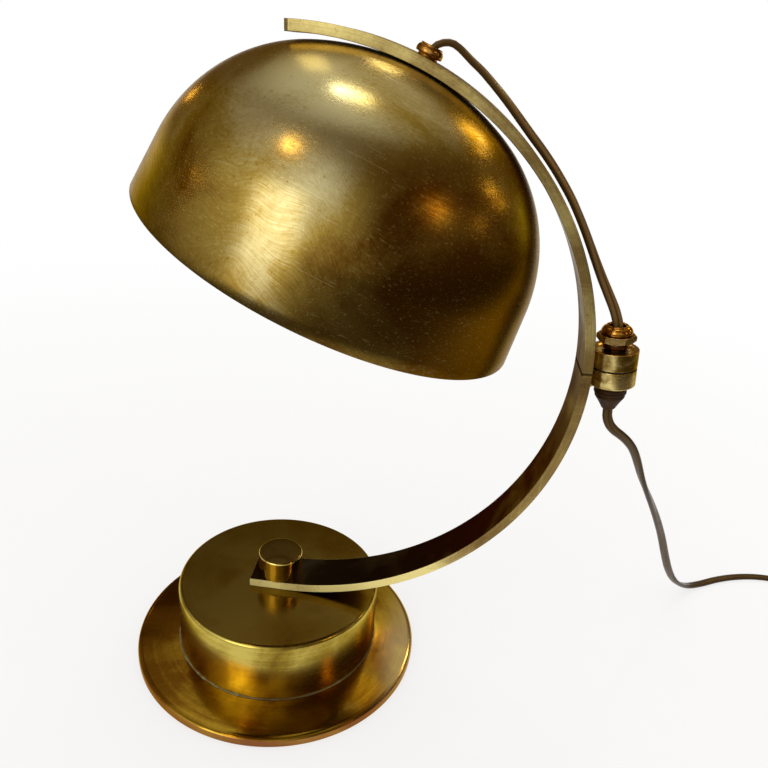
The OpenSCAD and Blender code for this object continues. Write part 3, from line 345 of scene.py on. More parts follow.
soft_lamp("left", (-0.62, -1.24, 0.75), 0.7, 1.0, 3.1, (1, 0.99, 0.95))
soft_lamp("above", (0.1, 0.4, 1.56), 0.3, 0.14, 1.1, (1, 0.96, 0.8))
soft_lamp("bulb left", (-0.4, -0.55, 1.45), 0.14, 0.14, 0.55, (1, 0.62, 0.16))
soft_lamp("bulb right", (1.13, -0.44, 0.96), 0.14, 0.14, 0.7, (1, 0.64, 0.18))
soft_lamp("far right", (1.15, 0.49, 0.83), 0.05, 0.05, 0.2, (1, 0.7, 0.3))
soft_lamp("behind", (0.68, 0.94, 0.92), 0.14, 0.2, 0.6, (1, 0.75, 0.35))
soft_lamp("behind left", (-0.18, 0.65, 1.1), 0.14, 0.3, 0.13, (1, 0.86, 0.5), (0, 0, 0.1))
soft_lamp("streak", (0.11, 1.06, 1.04), 0.14, 0.05, 0.25, (1, 0.97, 0.9), (0.06, 0, 0.3))
for number, spot in enumerate(((1.19, 0.52, 0.70), (1.32, 0.05, 0.67), (0.84, 0.80, 0.95),
                               (-1.24, -0.19, 0.73), (-0.83, 0.93, 0.66)), 1):
    soft_lamp(f"small bulb {number}", spot, 0.07, 0.07, 0.12, (1, 0.68, 0.24))
world = bpy.data.worlds.new("sky")
world.use_nodes = True
bpy.context.scene.world = world
tree = world.node_tree
sight, seen = looks(tree)
aim = add(tree, "ShaderNodeTexCoord").outputs["Generated"]
ways = add(tree, "ShaderNodeSeparateXYZ", {0: aim}).outputs
# The room that the brass mirrors: a lit wall at the left, a paler one behind it, the ceiling
sky = (0.16, 0.115, 0.07, 1)
for toward, low, high, share, tone in (
        ((-0.43, -0.86, 0.27), 0.45, 0.98, 1.0, (1, 0.98, 0.93, 1)),
        ((-0.9, -0.1, 0.42), 0.6, 1.0, 0.3, (1, 0.95, 0.85, 1)),
        ((0.05, 0.42, 0.91), 0.78, 0.97, 0.5, (1, 0.98, 0.9, 1))):
    near = add(tree, "ShaderNodeVectorMath", {0: aim, 1: toward},
               operation="DOT_PRODUCT").outputs["Value"]
    sky = blend(tree, spread(tree, near, low, high, 0, share), sky, tone)
# A white band low down behind the lamp, where the backdrop rises from the table
back = sums(tree, "MULTIPLY", spread(tree, ways[2], 0.2, 0.08),
            spread(tree, ways[1], 0.2, 0.65))
back = sums(tree, "MULTIPLY", back, spread(tree, ways[0], 0.9, 0.6))
sky = blend(tree, back, sky, (1, 1, 1, 1))
mirrored = sums(tree, "SUBTRACT", seen, sight["Is Camera Ray"])
sky = blend(tree, mirrored, (1, 1, 1, 1), sky)
tree.links.new(sky, tree.nodes["Background"].inputs["Color"])
tree.links.new(spread(tree, seen, 0, 1, 0.8, 1.0), tree.nodes["Background"].inputs["Strength"])


# Felt, closing plate and ballast: a disc of brown felt under a steel plate closes the base.
# Inside it hangs a cast iron weight on a threaded stud, with a washer and a hexagon nut.
def plain_metal(name, first, second, size, rough, depth):
    """Steel or iron with a mottled skin."""
    material, tree, shader, spots = start(name)
    patch = noise(tree, spots, 1000 / size, 6.0)
    surface(tree, shader, blend(tree, spread(tree, patch, 0.35, 0.65), first, second),
            spread(tree, patch, 0.3, 0.7, rough - 0.1, rough + 0.1), patch, 0.6, depth)
    shader.inputs["Metallic"].default_value = 1
    return material


def dress(material, *nodes):
    """Gives CAD pieces their material."""
    for node in nodes:
        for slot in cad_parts[node].material_slots:
            slot.material = material


material, tree, shader, spots = start("felt")
fibre = noise(tree, spots, 900.0, 3.0)
wear = noise(tree, spots, 25.0, 5.0)
cloth = blend(tree, fibre, (0.03, 0.018, 0.011, 1), (0.07, 0.045, 0.03, 1))
cloth = blend(tree, spread(tree, wear, 0.5, 0.7, 0, 0.4), cloth, (0.11, 0.08, 0.055, 1))
surface(tree, shader, cloth, height=fibre, strength=0.8, depth=0.0003)
shader.inputs["Roughness"].default_value = 0.95
shader.inputs["Sheen Weight"].default_value = 0.3
dress(material, "felt_pad")
dress(plain_metal("steel plate", (0.22, 0.22, 0.22, 1), (0.36, 0.36, 0.35, 1), 30, 0.45,
                  0.0001), "base_plate")
dress(plain_metal("cast iron", (0.05, 0.05, 0.052, 1), (0.11, 0.105, 0.1, 1), 3, 0.6, 0.0004),
      "base_weight")
zinc = plain_metal("zinc plate", (0.42, 0.42, 0.42, 1), (0.6, 0.6, 0.58, 1), 5, 0.38, 0.0001)
dress(zinc, "clamp_stud", "clamp_washer", "clamp_nut")


# Base flange: spun from brass sheet, slightly coned, with a rounded turned-down rim that
# stands on the felt. It is the most rubbed piece: its rim has gone copper brown.
def swing(mesh, parts, centre, axis, angle, steps, close=False):
    """Sweeps parts of a mesh round an axis, and gives back where they end."""
    return bmesh.ops.spin(mesh, geom=parts, cent=centre, axis=axis, dvec=(0, 0, 0),
                          angle=angle, steps=steps, use_merge=close,
                          use_duplicate=False)["geom_last"]


def full_turn(mesh, steps):
    """Spins a half section once round Z and closes it."""
    swing(mesh, mesh.verts[:] + mesh.edges[:], (0, 0, 0), (0, 0, 1), 2 * pi, steps, True)
    bmesh.ops.remove_doubles(mesh, verts=mesh.verts, dist=0.001)
    bmesh.ops.recalc_face_normals(mesh, faces=mesh.faces)


def half_section(mesh, points, closed=True):
    """A line through points of [radius, height]."""
    line = [mesh.verts.new((r, 0, z)) for r, z in points]
    after = line[1:] + line[:1] if closed else line[1:]
    for here, there in zip(line, after):
        mesh.edges.new((here, there))
    return line


def ease(mesh, parts, offset, segments, affect="VERTICES"):
    """Rounds corners of a section, or edges of a solid."""
    bmesh.ops.bevel(mesh, geom=parts, offset=offset, offset_type="OFFSET", segments=segments,
                    profile=0.5, affect=affect, material=-1)


def turned(name, outline, place, steps, closed=True, segments=5):
    """Spins a half section about its own Z. The outline is [radius, height, rounding]."""
    mesh = bmesh.new()
    line = half_section(mesh, [(r, z) for r, z, _ in outline], closed)
    for vert, (_, _, rounding) in zip(line, outline):
        if rounding:
            ease(mesh, [vert], rounding, segments)
    full_turn(mesh, steps)
    return even(made(name, mesh, place))


def even(piece):
    """Lets the large faces rule the shading, so that they stay flat beside a small edge."""
    piece.modifiers.new("even", "WEIGHTED_NORMAL").weight = 60
    return piece


def node_group(name, inputs, outputs):
    """A new node group, with the sockets that lead into it and out of it."""
    tree = bpy.data.node_groups.new(name, "ShaderNodeTree")
    for way, kinds in (("INPUT", inputs), ("OUTPUT", outputs)):
        for kind, names in kinds.items():
            for socket in names.split():
                tree.interface.new_socket(socket, in_out=way, socket_type="NodeSocket" + kind)
    given = tree.nodes.new("NodeGroupInput").outputs
    return tree, given, tree.nodes.new("NodeGroupOutput").inputs


def brass_age():
    """The finish that all the brass shares: turning lines, patina, specks and scratches."""
    tree, given, out = node_group("aged brass", {
        "Vector": "Place", "Color": "Bright Middle Dark",
        "Float": "Tarnish Blotch Pitch Lines Smooth Dull Scratches Sway"},
        {"Color": "Colour", "Float": "Roughness Height"})
    spot = add(tree, "ShaderNodeSeparateXYZ", {0: given["Place"]}).outputs
    flat = add(tree, "ShaderNodeCombineXYZ", {0: spot[0], 1: spot[1]}).outputs[0]
    radius = add(tree, "ShaderNodeVectorMath", {0: flat}, operation="LENGTH").outputs["Value"]
    round_ = add(tree, "ShaderNodeVectorMath", {0: flat}, operation="NORMALIZE").outputs[0]
    drift = noise(tree, given["Place"], 0.014)
    level = sums(tree, "MULTIPLY_ADD", sums(tree, "SUBTRACT", drift, 0.5), given["Sway"],
                 spot[2])
    rise = add(tree, "ShaderNodeCombineXYZ",
               {2: sums(tree, "DIVIDE", level, given["Pitch"])}).outputs[0]
    turn = add(tree, "ShaderNodeVectorMath", {0: round_, 1: (0.9, 0.9, 0.9), 2: rise},
               operation="MULTIPLY_ADD").outputs[0]
    line = add(tree, "ShaderNodeTexNoise", {
        "Vector": turn, "W": sums(tree, "DIVIDE", radius, given["Pitch"]), "Scale": 1.0,
        "Detail": 3.0, "Roughness": 0.6}, noise_dimensions="4D").outputs[0]
    patch = noise(tree, given["Place"], sums(tree, "DIVIDE", 1.0, given["Blotch"]), 5.0,
                  Roughness=0.5, Distortion=0.6)
    speck = noise(tree, given["Place"], 0.55, 4.0, Roughness=0.7)
    cuts = []
    for turned_by, stretch in (((0.4, 0.2, 0.9), (0.03, 1.3, 1.3)),
                               ((1.2, 0.7, -0.5), (1.1, 0.025, 1.1))):
        way = add(tree, "ShaderNodeMapping", {"Vector": given["Place"], "Rotation": turned_by,
                                              "Scale": stretch}).outputs[0]
        cuts.append(spread(tree, noise(tree, way, 1.0), 0.64, 0.70))
    scratch = sums(tree, "MULTIPLY", sums(tree, "MAXIMUM", *cuts), given["Scratches"])
    age = sums(tree, "MULTIPLY_ADD", patch, 2.6, -1.3)
    age = sums(tree, "ADD", age, sums(tree, "MULTIPLY_ADD", line, 0.5, -0.25))
    age = sums(tree, "ADD", age, sums(tree, "MULTIPLY_ADD", speck, 0.3, -0.15))
    age = sums(tree, "ADD", age, given["Tarnish"], clamp=True)
    young = blend(tree, sums(tree, "MULTIPLY", age, 2.0, clamp=True), given["Bright"],
                  given["Middle"])
    colour = blend(tree, sums(tree, "MULTIPLY_ADD", age, 2.0, -1.0, clamp=True), young,
                   given["Dark"])
    colour = blend(tree, spread(tree, speck, 0.62, 0.74, 0, 0.6), colour, given["Dark"])
    colour = blend(tree, sums(tree, "MULTIPLY", scratch, 0.35), colour, given["Bright"])
    rough = add(tree, "ShaderNodeMix", {0: age, 2: given["Smooth"], 3: given["Dull"]}).outputs[0]
    rough = sums(tree, "ADD", rough, sums(tree, "MULTIPLY_ADD", line, 0.14, -0.07))
    rough = sums(tree, "ADD", rough, sums(tree, "MULTIPLY", scratch, 0.12))
    height = sums(tree, "MULTIPLY", sums(tree, "SUBTRACT", line, 0.5), given["Lines"])
    height = sums(tree, "SUBTRACT", height, sums(tree, "MULTIPLY", scratch, 0.006))
    height = sums(tree, "ADD", height, sums(tree, "MULTIPLY", speck, 0.002))
    for name, value in (("Colour", colour), ("Roughness", rough), ("Height", height)):
        tree.links.new(value, out[name])
    return tree


def worn_edge():
    """Where an outer edge is rubbed bright, between 0 and 1."""
    tree, given, out = node_group("worn edge", {"Float": "Reach"}, {"Float": "Mask"})
    soft = add(tree, "ShaderNodeBevel", {"Radius": given["Reach"]}, samples=6).outputs[0]
    hard = add(tree, "ShaderNodeNewGeometry").outputs["Normal"]
    same = add(tree, "ShaderNodeVectorMath", {0: soft, 1: hard},
               operation="DOT_PRODUCT").outputs["Value"]
    tree.links.new(spread(tree, same, 0.96, 0.82), out["Mask"])
    return tree


aged_brass = brass_age()
edge_wear = worn_edge()
gold = (0.62, 0.45, 0.13, 1)
olive = (0.28, 0.17, 0.03, 1)
umber = (0.08, 0.032, 0.005, 1)


def shared(tree, group, values):
    """Uses a shared node group in a material, and joins or fills its inputs."""
    return add(tree, "ShaderNodeGroup", values, node_tree=group).outputs


def own_place(tree, spots, place):
    """Measures in millimetres from a piece's own place, along its own axes."""
    return add(tree, "ShaderNodeMapping", {
        "Vector": spots, "Location": place.to_translation() * mm,
        "Rotation": place.to_euler(), "Scale": (mm, mm, mm)}, vector_type="TEXTURE").outputs[0]


def brass(name, place, bright=gold, middle=olive, dark=umber, tarnish=0.5, blotch=40.0,
          pitch=0.8, lines=0.012, smooth=0.2, dull=0.4, scratches=0.6, sway=0.0, edge=0.0,
          edge_colour=(0.70, 0.52, 0.2, 1), uneven=(), marks=()):
    """Aged brass for a piece that was turned or bent about the Z of its place.

    Uneven adds age, and marks lay a colour, over a stretch of x, y, z or radius: some are
    patina, others painted shade and painted highlights."""
    material, tree, shader, spots = start(name)
    spots = own_place(tree, spots, place)
    if uneven or marks:
        ways = dict(zip("xyz", add(tree, "ShaderNodeSeparateXYZ", {0: spots}).outputs))
        flat = add(tree, "ShaderNodeCombineXYZ", {0: ways["x"], 1: ways["y"]}).outputs[0]
        ways["radius"] = add(tree, "ShaderNodeVectorMath", {0: flat},
                             operation="LENGTH").outputs["Value"]
    for way, low, high, more in uneven:
        tarnish = sums(tree, "ADD", tarnish, spread(tree, ways[way], low, high, 0, more))
    aged = shared(tree, aged_brass, {
        "Place": spots, "Bright": bright, "Middle": middle, "Dark": dark, "Tarnish": tarnish,
        "Blotch": blotch, "Pitch": pitch, "Lines": lines, "Smooth": smooth, "Dull": dull,
        "Scratches": scratches, "Sway": sway})
    colour = aged["Colour"]
    for way, low, high, share, laid in marks:
        colour = blend(tree, spread(tree, ways[way], low, high, 0, share), colour, laid)
    if edge:
        worn = shared(tree, edge_wear, {"Reach": edge * mm})["Mask"]
        colour = blend(tree, worn, colour, edge_colour)
    surface(tree, shader, colour, aged["Roughness"], aged["Height"])
    shader.inputs["Metallic"].default_value = 1
    shader.inputs["Specular Tint"].default_value = (0.8, 0.62, 0.36, 1)
    return material


upright = Matrix()
rim = 85
drum_r = 60
drum_bore = 58.5
seat = 8
flange = turned("base_flange_spun", [
    [drum_bore, seat, 0], [drum_r, seat, 0], [72, 7, 0], [rim - 2, 6.05, 1.2], [rim, 5, 1.2],
    [rim, 1, 0.25], [rim - 2, 1, 0.25], [rim - 2, 4, 1], [drum_r, 6, 0.5], [drum_bore, 6, 0]],
    upright, steps=192)
# The copper band round the rim is patina; the darkening towards the left is painted shade, and
# the pale band on the right is a painted highlight
flange.data.materials.append(
    brass("brass, flange", upright, bright=(0.60, 0.385, 0.035, 1),
          middle=(0.24, 0.105, 0.008, 1), dark=(0.09, 0.03, 0.003, 1), tarnish=0.42, blotch=45,
          pitch=1.4, lines=0.01, smooth=0.1, dull=0.22, edge=0.6,
          edge_colour=(0.78, 0.55, 0.2, 1), scratches=0.25,
          uneven=(("x", -25, -75, 0.5), ("x", 52, 84, -0.5)),
          marks=(("x", 62, 82, 0.5, (0.80, 0.66, 0.34, 1)),
                 ("radius", 84.2, 84.9, 0.75, (0.26, 0.095, 0.04, 1)))))
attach(flange, "base")
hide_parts("base_flange")

# Base drum: a spun brass cup, turned over and soldered to the flange. A line of solder,
# gone brown with pale patches, runs round its foot.
drum_top = 46
stud_hole = 5.3
drum = turned("base_drum_spun", [
    [drum_r, seat, 0], [drum_r, 26, 0], [drum_r, drum_top, 2.5], [30, drum_top - 0.05, 0],
    [stud_hole, drum_top, 0], [stud_hole, drum_top - 1.5, 0], [drum_bore, drum_top - 1.5, 1],
    [drum_bore, seat, 0]], upright, steps=192)
# Its top face is painted dark and its right side darker: painted shade
drum.data.materials.append(
    brass("brass, drum", upright, bright=(0.64, 0.51, 0.115, 1),
          middle=(0.33, 0.225, 0.03, 1), dark=(0.09, 0.04, 0.006, 1), tarnish=0.2,
          blotch=40, pitch=1.1, lines=0.01, smooth=0.17, dull=0.3, edge=1.2,
          edge_colour=(0.60, 0.44, 0.14, 1), scratches=0.2, uneven=(("x", 20, 55, 0.3),),
          marks=(("z", 45.2, 45.9, 0.85, (0.085, 0.038, 0.004, 1)),)))
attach(drum, "base")
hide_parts("base_drum")

seam_mesh = bmesh.new()
bmesh.ops.create_circle(seam_mesh, cap_ends=False, segments=10, radius=0.7)
seam_z = seat + 0.1
bmesh.ops.transform(
    seam_mesh, verts=seam_mesh.verts,
    matrix=Matrix.Translation((drum_r, 0, seam_z)) @ Matrix.Rotation(pi / 2, 4, "X"))
full_turn(seam_mesh, 240)
for vert in seam_mesh.verts:
    way = vert.co.xy.angle_signed(Vector((1, 0)), 0)
    lump = 0.16 * sin(17 * way) + 0.12 * sin(41 * way + 1) + 0.1 * sin(77 * way + 2)
    core = vert.co.xy.normalized().to_3d() * drum_r + Vector((0, 0, seam_z))
    vert.co = core + (vert.co - core) * (1 + lump)
seam = made("solder_seam", seam_mesh, upright)
material, tree, shader, spots = start("old solder")
crust = noise(tree, spots, 260.0, 5.0)
bloom = noise(tree, spots, 45.0, 3.0)
colour = blend(tree, spread(tree, crust, 0.45, 0.62), (0.17, 0.115, 0.035, 1),
               (0.24, 0.25, 0.15, 1))
colour = blend(tree, spread(tree, bloom, 0.46, 0.58), colour, (0.10, 0.06, 0.015, 1))
surface(tree, shader, colour, spread(tree, crust, 0.3, 0.7, 0.4, 0.8), crust, depth=0.0006)
shader.inputs["Metallic"].default_value = 0.4
seam.data.materials.append(material)
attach(seam, "base")

# Cap nut: a plain round nut, turned from brass bar with a small rounding. It screws on the
# stud and clamps the bent bar to the base.
nut_r = 13
nut_low = 51
nut_high = 64.5
cap_nut = turned("cap_nut_turned", [
    [0, nut_low, 0], [nut_r, nut_low, 0.3], [nut_r, nut_high, 1.1], [6, nut_high, 0],
    [0, nut_high, 0]], upright, steps=96, closed=False, segments=3)
# Its top face is painted dark: painted shade
cap_nut.data.materials.append(
    brass("brass, cap nut", upright, bright=(0.92, 0.70, 0.20, 1), tarnish=0.05, blotch=12,
          pitch=0.5, lines=0.006, smooth=0.1, dull=0.26, edge=0.25, scratches=0.2,
          marks=(("z", 64.0, 64.45, 0.95, (0.072, 0.036, 0.007, 1)),)))
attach(cap_nut, "base")
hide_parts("cap_nut")

# Bent bar: flat brass bar of 25 by 5, bent on a former to one even curve and sawn through
# at the hinge. Its broad inner face stays dull and is painted in shade, darkest near the foot;
# its narrow faces are filed, with a painted highlight near the foot, and its edges are rubbed
# bright.
bar_w = 25
bar_t = 5
foot_back = -15.5
arc = Vector((3.5, 0, 199))
arc_r = arc.z - drum_top
# The bar's own place: its Z lies along the axis that the bar is bent about
bend = Matrix.Translation(arc) @ Matrix.Rotation(pi / 2, 4, "X")
# Where the blanks end, measured round the bend from its lowest point
low_end = radians(100)
high_start = radians(85)
high_end = radians(182)
hinge = Matrix.Translation((168.213, 0, 207.6)) @ Matrix.Rotation(radians(-5.5), 4, "Y")
saw_up = hinge.to_3x3() @ Vector((0, 0, 1))
saw_cut = 0.4


def bar_section(mesh):
    """The bar's end, upright in the plane x = 0, with its corners eased."""
    end = [mesh.verts.new((0, y, z)) for y, z in (
        (-bar_w / 2, 0), (bar_w / 2, 0), (bar_w / 2, bar_t), (-bar_w / 2, bar_t))]
    mesh.faces.new(end)
    ease(mesh, end, 0.35, 3)
    return mesh.faces[:]


def cut_off(mesh, spot, away):
    """Cuts a solid through at a spot, drops what lies away from there and faces the cut."""
    cut = bmesh.ops.bisect_plane(
        mesh, geom=mesh.verts[:] + mesh.edges[:] + mesh.faces[:], dist=0.0001, plane_co=spot,
        plane_no=away, clear_outer=True)
    bmesh.ops.edgeloop_fill(mesh, edges=only(cut["geom_cut"], BMEdge))


def bar_finish(name):
    """Filed brass on the narrow faces, with a painted highlight near the foot, and dull grey
    brown on the inner face, painted in shade.
    """
    material, tree, shader, spots = start(name)
    spots = own_place(tree, spots, bend)
    spot = add(tree, "ShaderNodeSeparateXYZ", {0: spots}).outputs
    foot = sums(tree, "MULTIPLY", sums(tree, "GREATER_THAN", spot[1], 0.0), -1000.0)
    flat = add(tree, "ShaderNodeCombineXYZ", {0: sums(tree, "MAXIMUM", spot[0], foot),
                                              1: spot[1]}).outputs[0]
    radius = add(tree, "ShaderNodeVectorMath", {0: flat}, operation="LENGTH").outputs["Value"]
    inner = spread(tree, radius, arc_r - bar_t + 0.3, arc_r - bar_t + 0.1)
    narrow = spread(tree, sums(tree, "ABSOLUTE", spot[2]), bar_w / 2 - 0.3, bar_w / 2 - 0.1)
    faces = []
    # Filed copy: lighter towards the foot, a painted highlight. Inner face copy: painted dark as
    # shade, darkest near the foot
    for bright, middle, dark, tarnish, smooth, dull, blotch in (
            ((0.92, 0.78, 0.30, 1), (0.34, 0.23, 0.075, 1), (0.13, 0.075, 0.02, 1),
             spread(tree, spot[1], -147, -90, 0.0, 0.5), 0.34, 0.44, 70.0),
            ((0.13, 0.10, 0.06, 1), (0.06, 0.044, 0.027, 1), (0.02, 0.013, 0.006, 1),
             spread(tree, spot[1], -130, 60, 1.0, 0.4), 0.24, 0.38, 30.0)):
        faces.append(shared(tree, aged_brass, {
            "Place": spots, "Bright": bright, "Middle": middle, "Dark": dark,
            "Tarnish": tarnish, "Blotch": blotch, "Pitch": 0.5, "Lines": 0.02,
            "Smooth": smooth, "Dull": dull, "Scratches": 0.4}))
    filed, broad = faces
    worn = shared(tree, edge_wear, {"Reach": 0.6 * mm})["Mask"]
    colour = blend(tree, inner, filed["Colour"], broad["Colour"])
    colour = blend(tree, narrow, colour, filed["Colour"])
    colour = blend(tree, worn, colour, (0.66, 0.54, 0.31, 1))
    rough = add(tree, "ShaderNodeMix", {0: inner, 2: filed["Roughness"],
                                        3: broad["Roughness"]}).outputs[0]
    surface(tree, shader, colour, rough, filed["Height"])
    # Near the foot the narrow faces go matt and pale: a painted highlight
    painted_foot_highlight = sums(tree, "MULTIPLY", narrow, spread(tree, spot[1], -90, -140, 0, 0.85))
    tree.links.new(sums(tree, "SUBTRACT", 1.0, painted_foot_highlight), shader.inputs["Metallic"])
    shader.inputs["Specular Tint"].default_value = (0.5, 0.4, 0.28, 1)
    return material


bar_brass = bar_finish("brass, bar")
low_bar_mesh = bmesh.new()
foot = bar_section(low_bar_mesh)
bmesh.ops.translate(low_bar_mesh, verts=low_bar_mesh.verts, vec=(foot_back, 0, drum_top))
front = bmesh.ops.extrude_face_region(low_bar_mesh, geom=foot)["geom"]
bmesh.ops.translate(low_bar_mesh, verts=only(front, BMVert), vec=(arc.x - foot_back, 0, 0))
swing(low_bar_mesh, only(front, BMFace), arc, (0, -1, 0), low_end, 110)
bend_start = Vector((arc.x, 0, drum_top + bar_t / 2))
between = [face for face in low_bar_mesh.faces if len(face.verts) > 4
           and (face.calc_center_median() - bend_start).length < 0.1]
bmesh.ops.delete(low_bar_mesh, geom=between, context="FACES_ONLY")
cut_off(low_bar_mesh, hinge.to_translation() - saw_up * saw_cut / 2, saw_up)
bmesh.ops.recalc_face_normals(low_bar_mesh, faces=low_bar_mesh.faces)
low_bar = even(made("lower_bar", low_bar_mesh, upright))
low_bar.data.materials.append(bar_brass)
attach(low_bar, "base")
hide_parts("lower_arm")

high_bar_mesh = bmesh.new()
bar_section(high_bar_mesh)
bmesh.ops.translate(high_bar_mesh, verts=high_bar_mesh.verts, vec=(arc.x, 0, drum_top))
bmesh.ops.rotate(high_bar_mesh, verts=high_bar_mesh.verts, cent=arc,
                 matrix=Matrix.Rotation(-high_start, 3, "Y"))
swing(high_bar_mesh, high_bar_mesh.faces[:], arc, (0, -1, 0), high_end - high_start, 110)
cut_off(high_bar_mesh, hinge.to_translation() + saw_up * saw_cut / 2, -saw_up)
bmesh.ops.recalc_face_normals(high_bar_mesh, faces=high_bar_mesh.faces)
high_bar = even(made("upper_bar", high_bar_mesh, upright))
high_bar.data.materials.append(bar_brass)
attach(high_bar, "head")
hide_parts("upper_arm")

# Hinge discs: two turned brass discs, each brazed to its bar by a short lug, face each
# other over a dark fibre washer. The upper one turns.
disc_r = 11.75
disc_foot = -9.35
tube_r = 5.05
lug_l = 6.4
lug_w = 8
lug_x = -9.8


def hinge_disc(name, low, high, drop):
    """A disc with softened edges, and the lug that joins it to the bar."""
    mesh = bmesh.new()
    line = half_section(mesh, ((tube_r, low), (disc_r, low), (disc_r, high), (tube_r, high)))
    ease(mesh, line[1:3], 0.45, 4)
    full_turn(mesh, 96)
    lug = bmesh.ops.create_cube(mesh, size=1)["verts"]
    bmesh.ops.scale(mesh, verts=lug, vec=(lug_l, lug_w, high - low - 0.2))
    bmesh.ops.translate(mesh, verts=lug, vec=(lug_x, 0, (low + high) / 2))
    bmesh.ops.translate(mesh, vec=(0, 0, -drop), verts=[
        vert for vert in lug if vert.co.x < lug_x and vert.co.z < (low + high) / 2])
    ease(mesh, [edge for edge in mesh.edges if edge.verts[0] in lug], 0.25, 2, "EDGES")
    bmesh.ops.recalc_face_normals(mesh, faces=mesh.faces)
    return even(made(name, mesh, hinge))


# The side away from the bar is painted darker: painted shade
disc_brass = brass("brass, discs", hinge, bright=(0.88, 0.70, 0.28, 1), tarnish=0.28,
                   blotch=12, pitch=0.28, lines=0.02, smooth=0.2, dull=0.34, edge=0.6,
                   edge_colour=(0.80, 0.62, 0.36, 1), uneven=(("x", 3, 12, 0.3),),
                   marks=(("z", 9.0, 9.4, 0.6, (0.42, 0.22, 0.08, 1)),))
for disc, body, node in (
        (hinge_disc("hinge_disc_lower", disc_foot, -0.35, 2.5), "base", "lower_disc"),
        (hinge_disc("hinge_disc_upper", 0.45, 9.45, 0), "head", "upper_disc")):
    disc.data.materials.append(disc_brass)
    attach(disc, body)
    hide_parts(node)


def moulded(name, first, second, size, low, high):
    """Moulded plastic, fibre or ceramic with a fine uneven skin."""
    material, tree, shader, spots = start(name)
    skin = noise(tree, spots, 1000 / size, 6.0)
    soil = noise(tree, spots, 120 / size, 4.0)
    surface(tree, shader, blend(tree, spread(tree, soil, 0.35, 0.65), first, second),
            spread(tree, skin, 0.3, 0.7, low, high), skin, 0.5, 0.08 * mm)
    return material


dress(moulded("fibre", (0.012, 0.009, 0.007, 1), (0.03, 0.022, 0.016, 1), 1, 0.6, 0.9),
      "friction_washer")

# Hinge pivot: a hollow threaded tube runs through both discs. A rounded collar, a hexagon
# lock nut and a polished dome sit on it, and the lead comes out of the dome's mouth.
dress(brass("brass, tube", hinge, tarnish=0.6, blotch=6, pitch=0.5), "pivot_tube")
collar_r = 6.3
collar_low = 9.55
lock_low = 13.45
dome_low = 17.05
collar = turned("pivot_collar_turned", [
    [tube_r, collar_low, 0], [collar_r, collar_low, 0.9], [collar_r, lock_low, 0.9],
    [tube_r, lock_low, 0]], hinge, steps=64)
collar.data.materials.append(
    brass("brass, collar", hinge, bright=(0.40, 0.22, 0.09, 1), middle=(0.20, 0.09, 0.03, 1),
          tarnish=0.55, blotch=5, pitch=0.4, smooth=0.12, dull=0.26))
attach(collar, "head")
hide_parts("pivot_collar")


def hex_nut(name, flats, bore, low, high, place, turn):
    """Turns a chamfered washer, and mills six flats on it."""
    mesh = bmesh.new()
    corner = flats / sqrt(3)
    dip = (corner - flats / 2) * 0.6
    half_section(mesh, ((bore, low), (flats / 2, low), (corner, low + dip),
                        (corner, high - dip), (flats / 2, high), (bore, high)))
    full_turn(mesh, 144)
    for side in range(6):
        way = Matrix.Rotation(radians(60 * side + turn), 3, "Z") @ Vector((1, 0, 0))
        cut_off(mesh, way * flats / 2, way)
    bmesh.ops.recalc_face_normals(mesh, faces=mesh.faces)
    sharp = [edge for edge in mesh.edges if edge.calc_face_angle(0) > radians(25)]
    ease(mesh, sharp, 0.12, 2, "EDGES")
    return even(made(name, mesh, place))


lock_nut = hex_nut("lock_nut_milled", 17, tube_r, lock_low, dome_low, hinge, 15)
lock_nut.data.materials.append(
    brass("brass, lock nut", hinge, bright=(0.56, 0.41, 0.16, 1),
          middle=(0.33, 0.21, 0.06, 1), tarnish=0.42, blotch=9, pitch=0.5, smooth=0.14,
          dull=0.34, edge=0.35, edge_colour=(0.78, 0.64, 0.40, 1)))
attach(lock_nut, "head")
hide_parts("lock_nut")


def mouth_outline(low, height, radius, hole, bore, deep):
    """Half section of a bulged outlet, with a rolled lip round its mouth."""
    outline = [[bore, low, 0], [radius * 0.94, low, 0.2]]
    for k in range(9):
        way = radians(-12 + 11.5 * k)
        outline.append([hole + 0.5 + (radius - hole - 0.5) * cos(way),
                        low + height * 0.26 + height * 0.62 * sin(way), 0])
    outline += [[hole + 1.5, low + height * 0.93, 0], [hole + 0.9, low + height, 0],
                [hole + 0.3, low + height * 0.97, 0], [hole, low + height * 0.85, 0],
                [hole, low + deep, 0], [bore, low + deep, 0]]
    return outline


dome = turned("flex_dome_turned", mouth_outline(dome_low, 4.6, 7.7, 4, tube_r, 2.4), hinge,
              steps=96)
dome.data.materials.append(
    brass("brass, dome", hinge, bright=(0.66, 0.36, 0.07, 1), middle=(0.36, 0.15, 0.02, 1),
          dark=(0.10, 0.035, 0.005, 1), tarnish=0.42, blotch=5, pitch=0.5, lines=0.004,
          smooth=0.08, dull=0.18, scratches=0.3))
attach(dome, "head")
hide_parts("flex_dome")

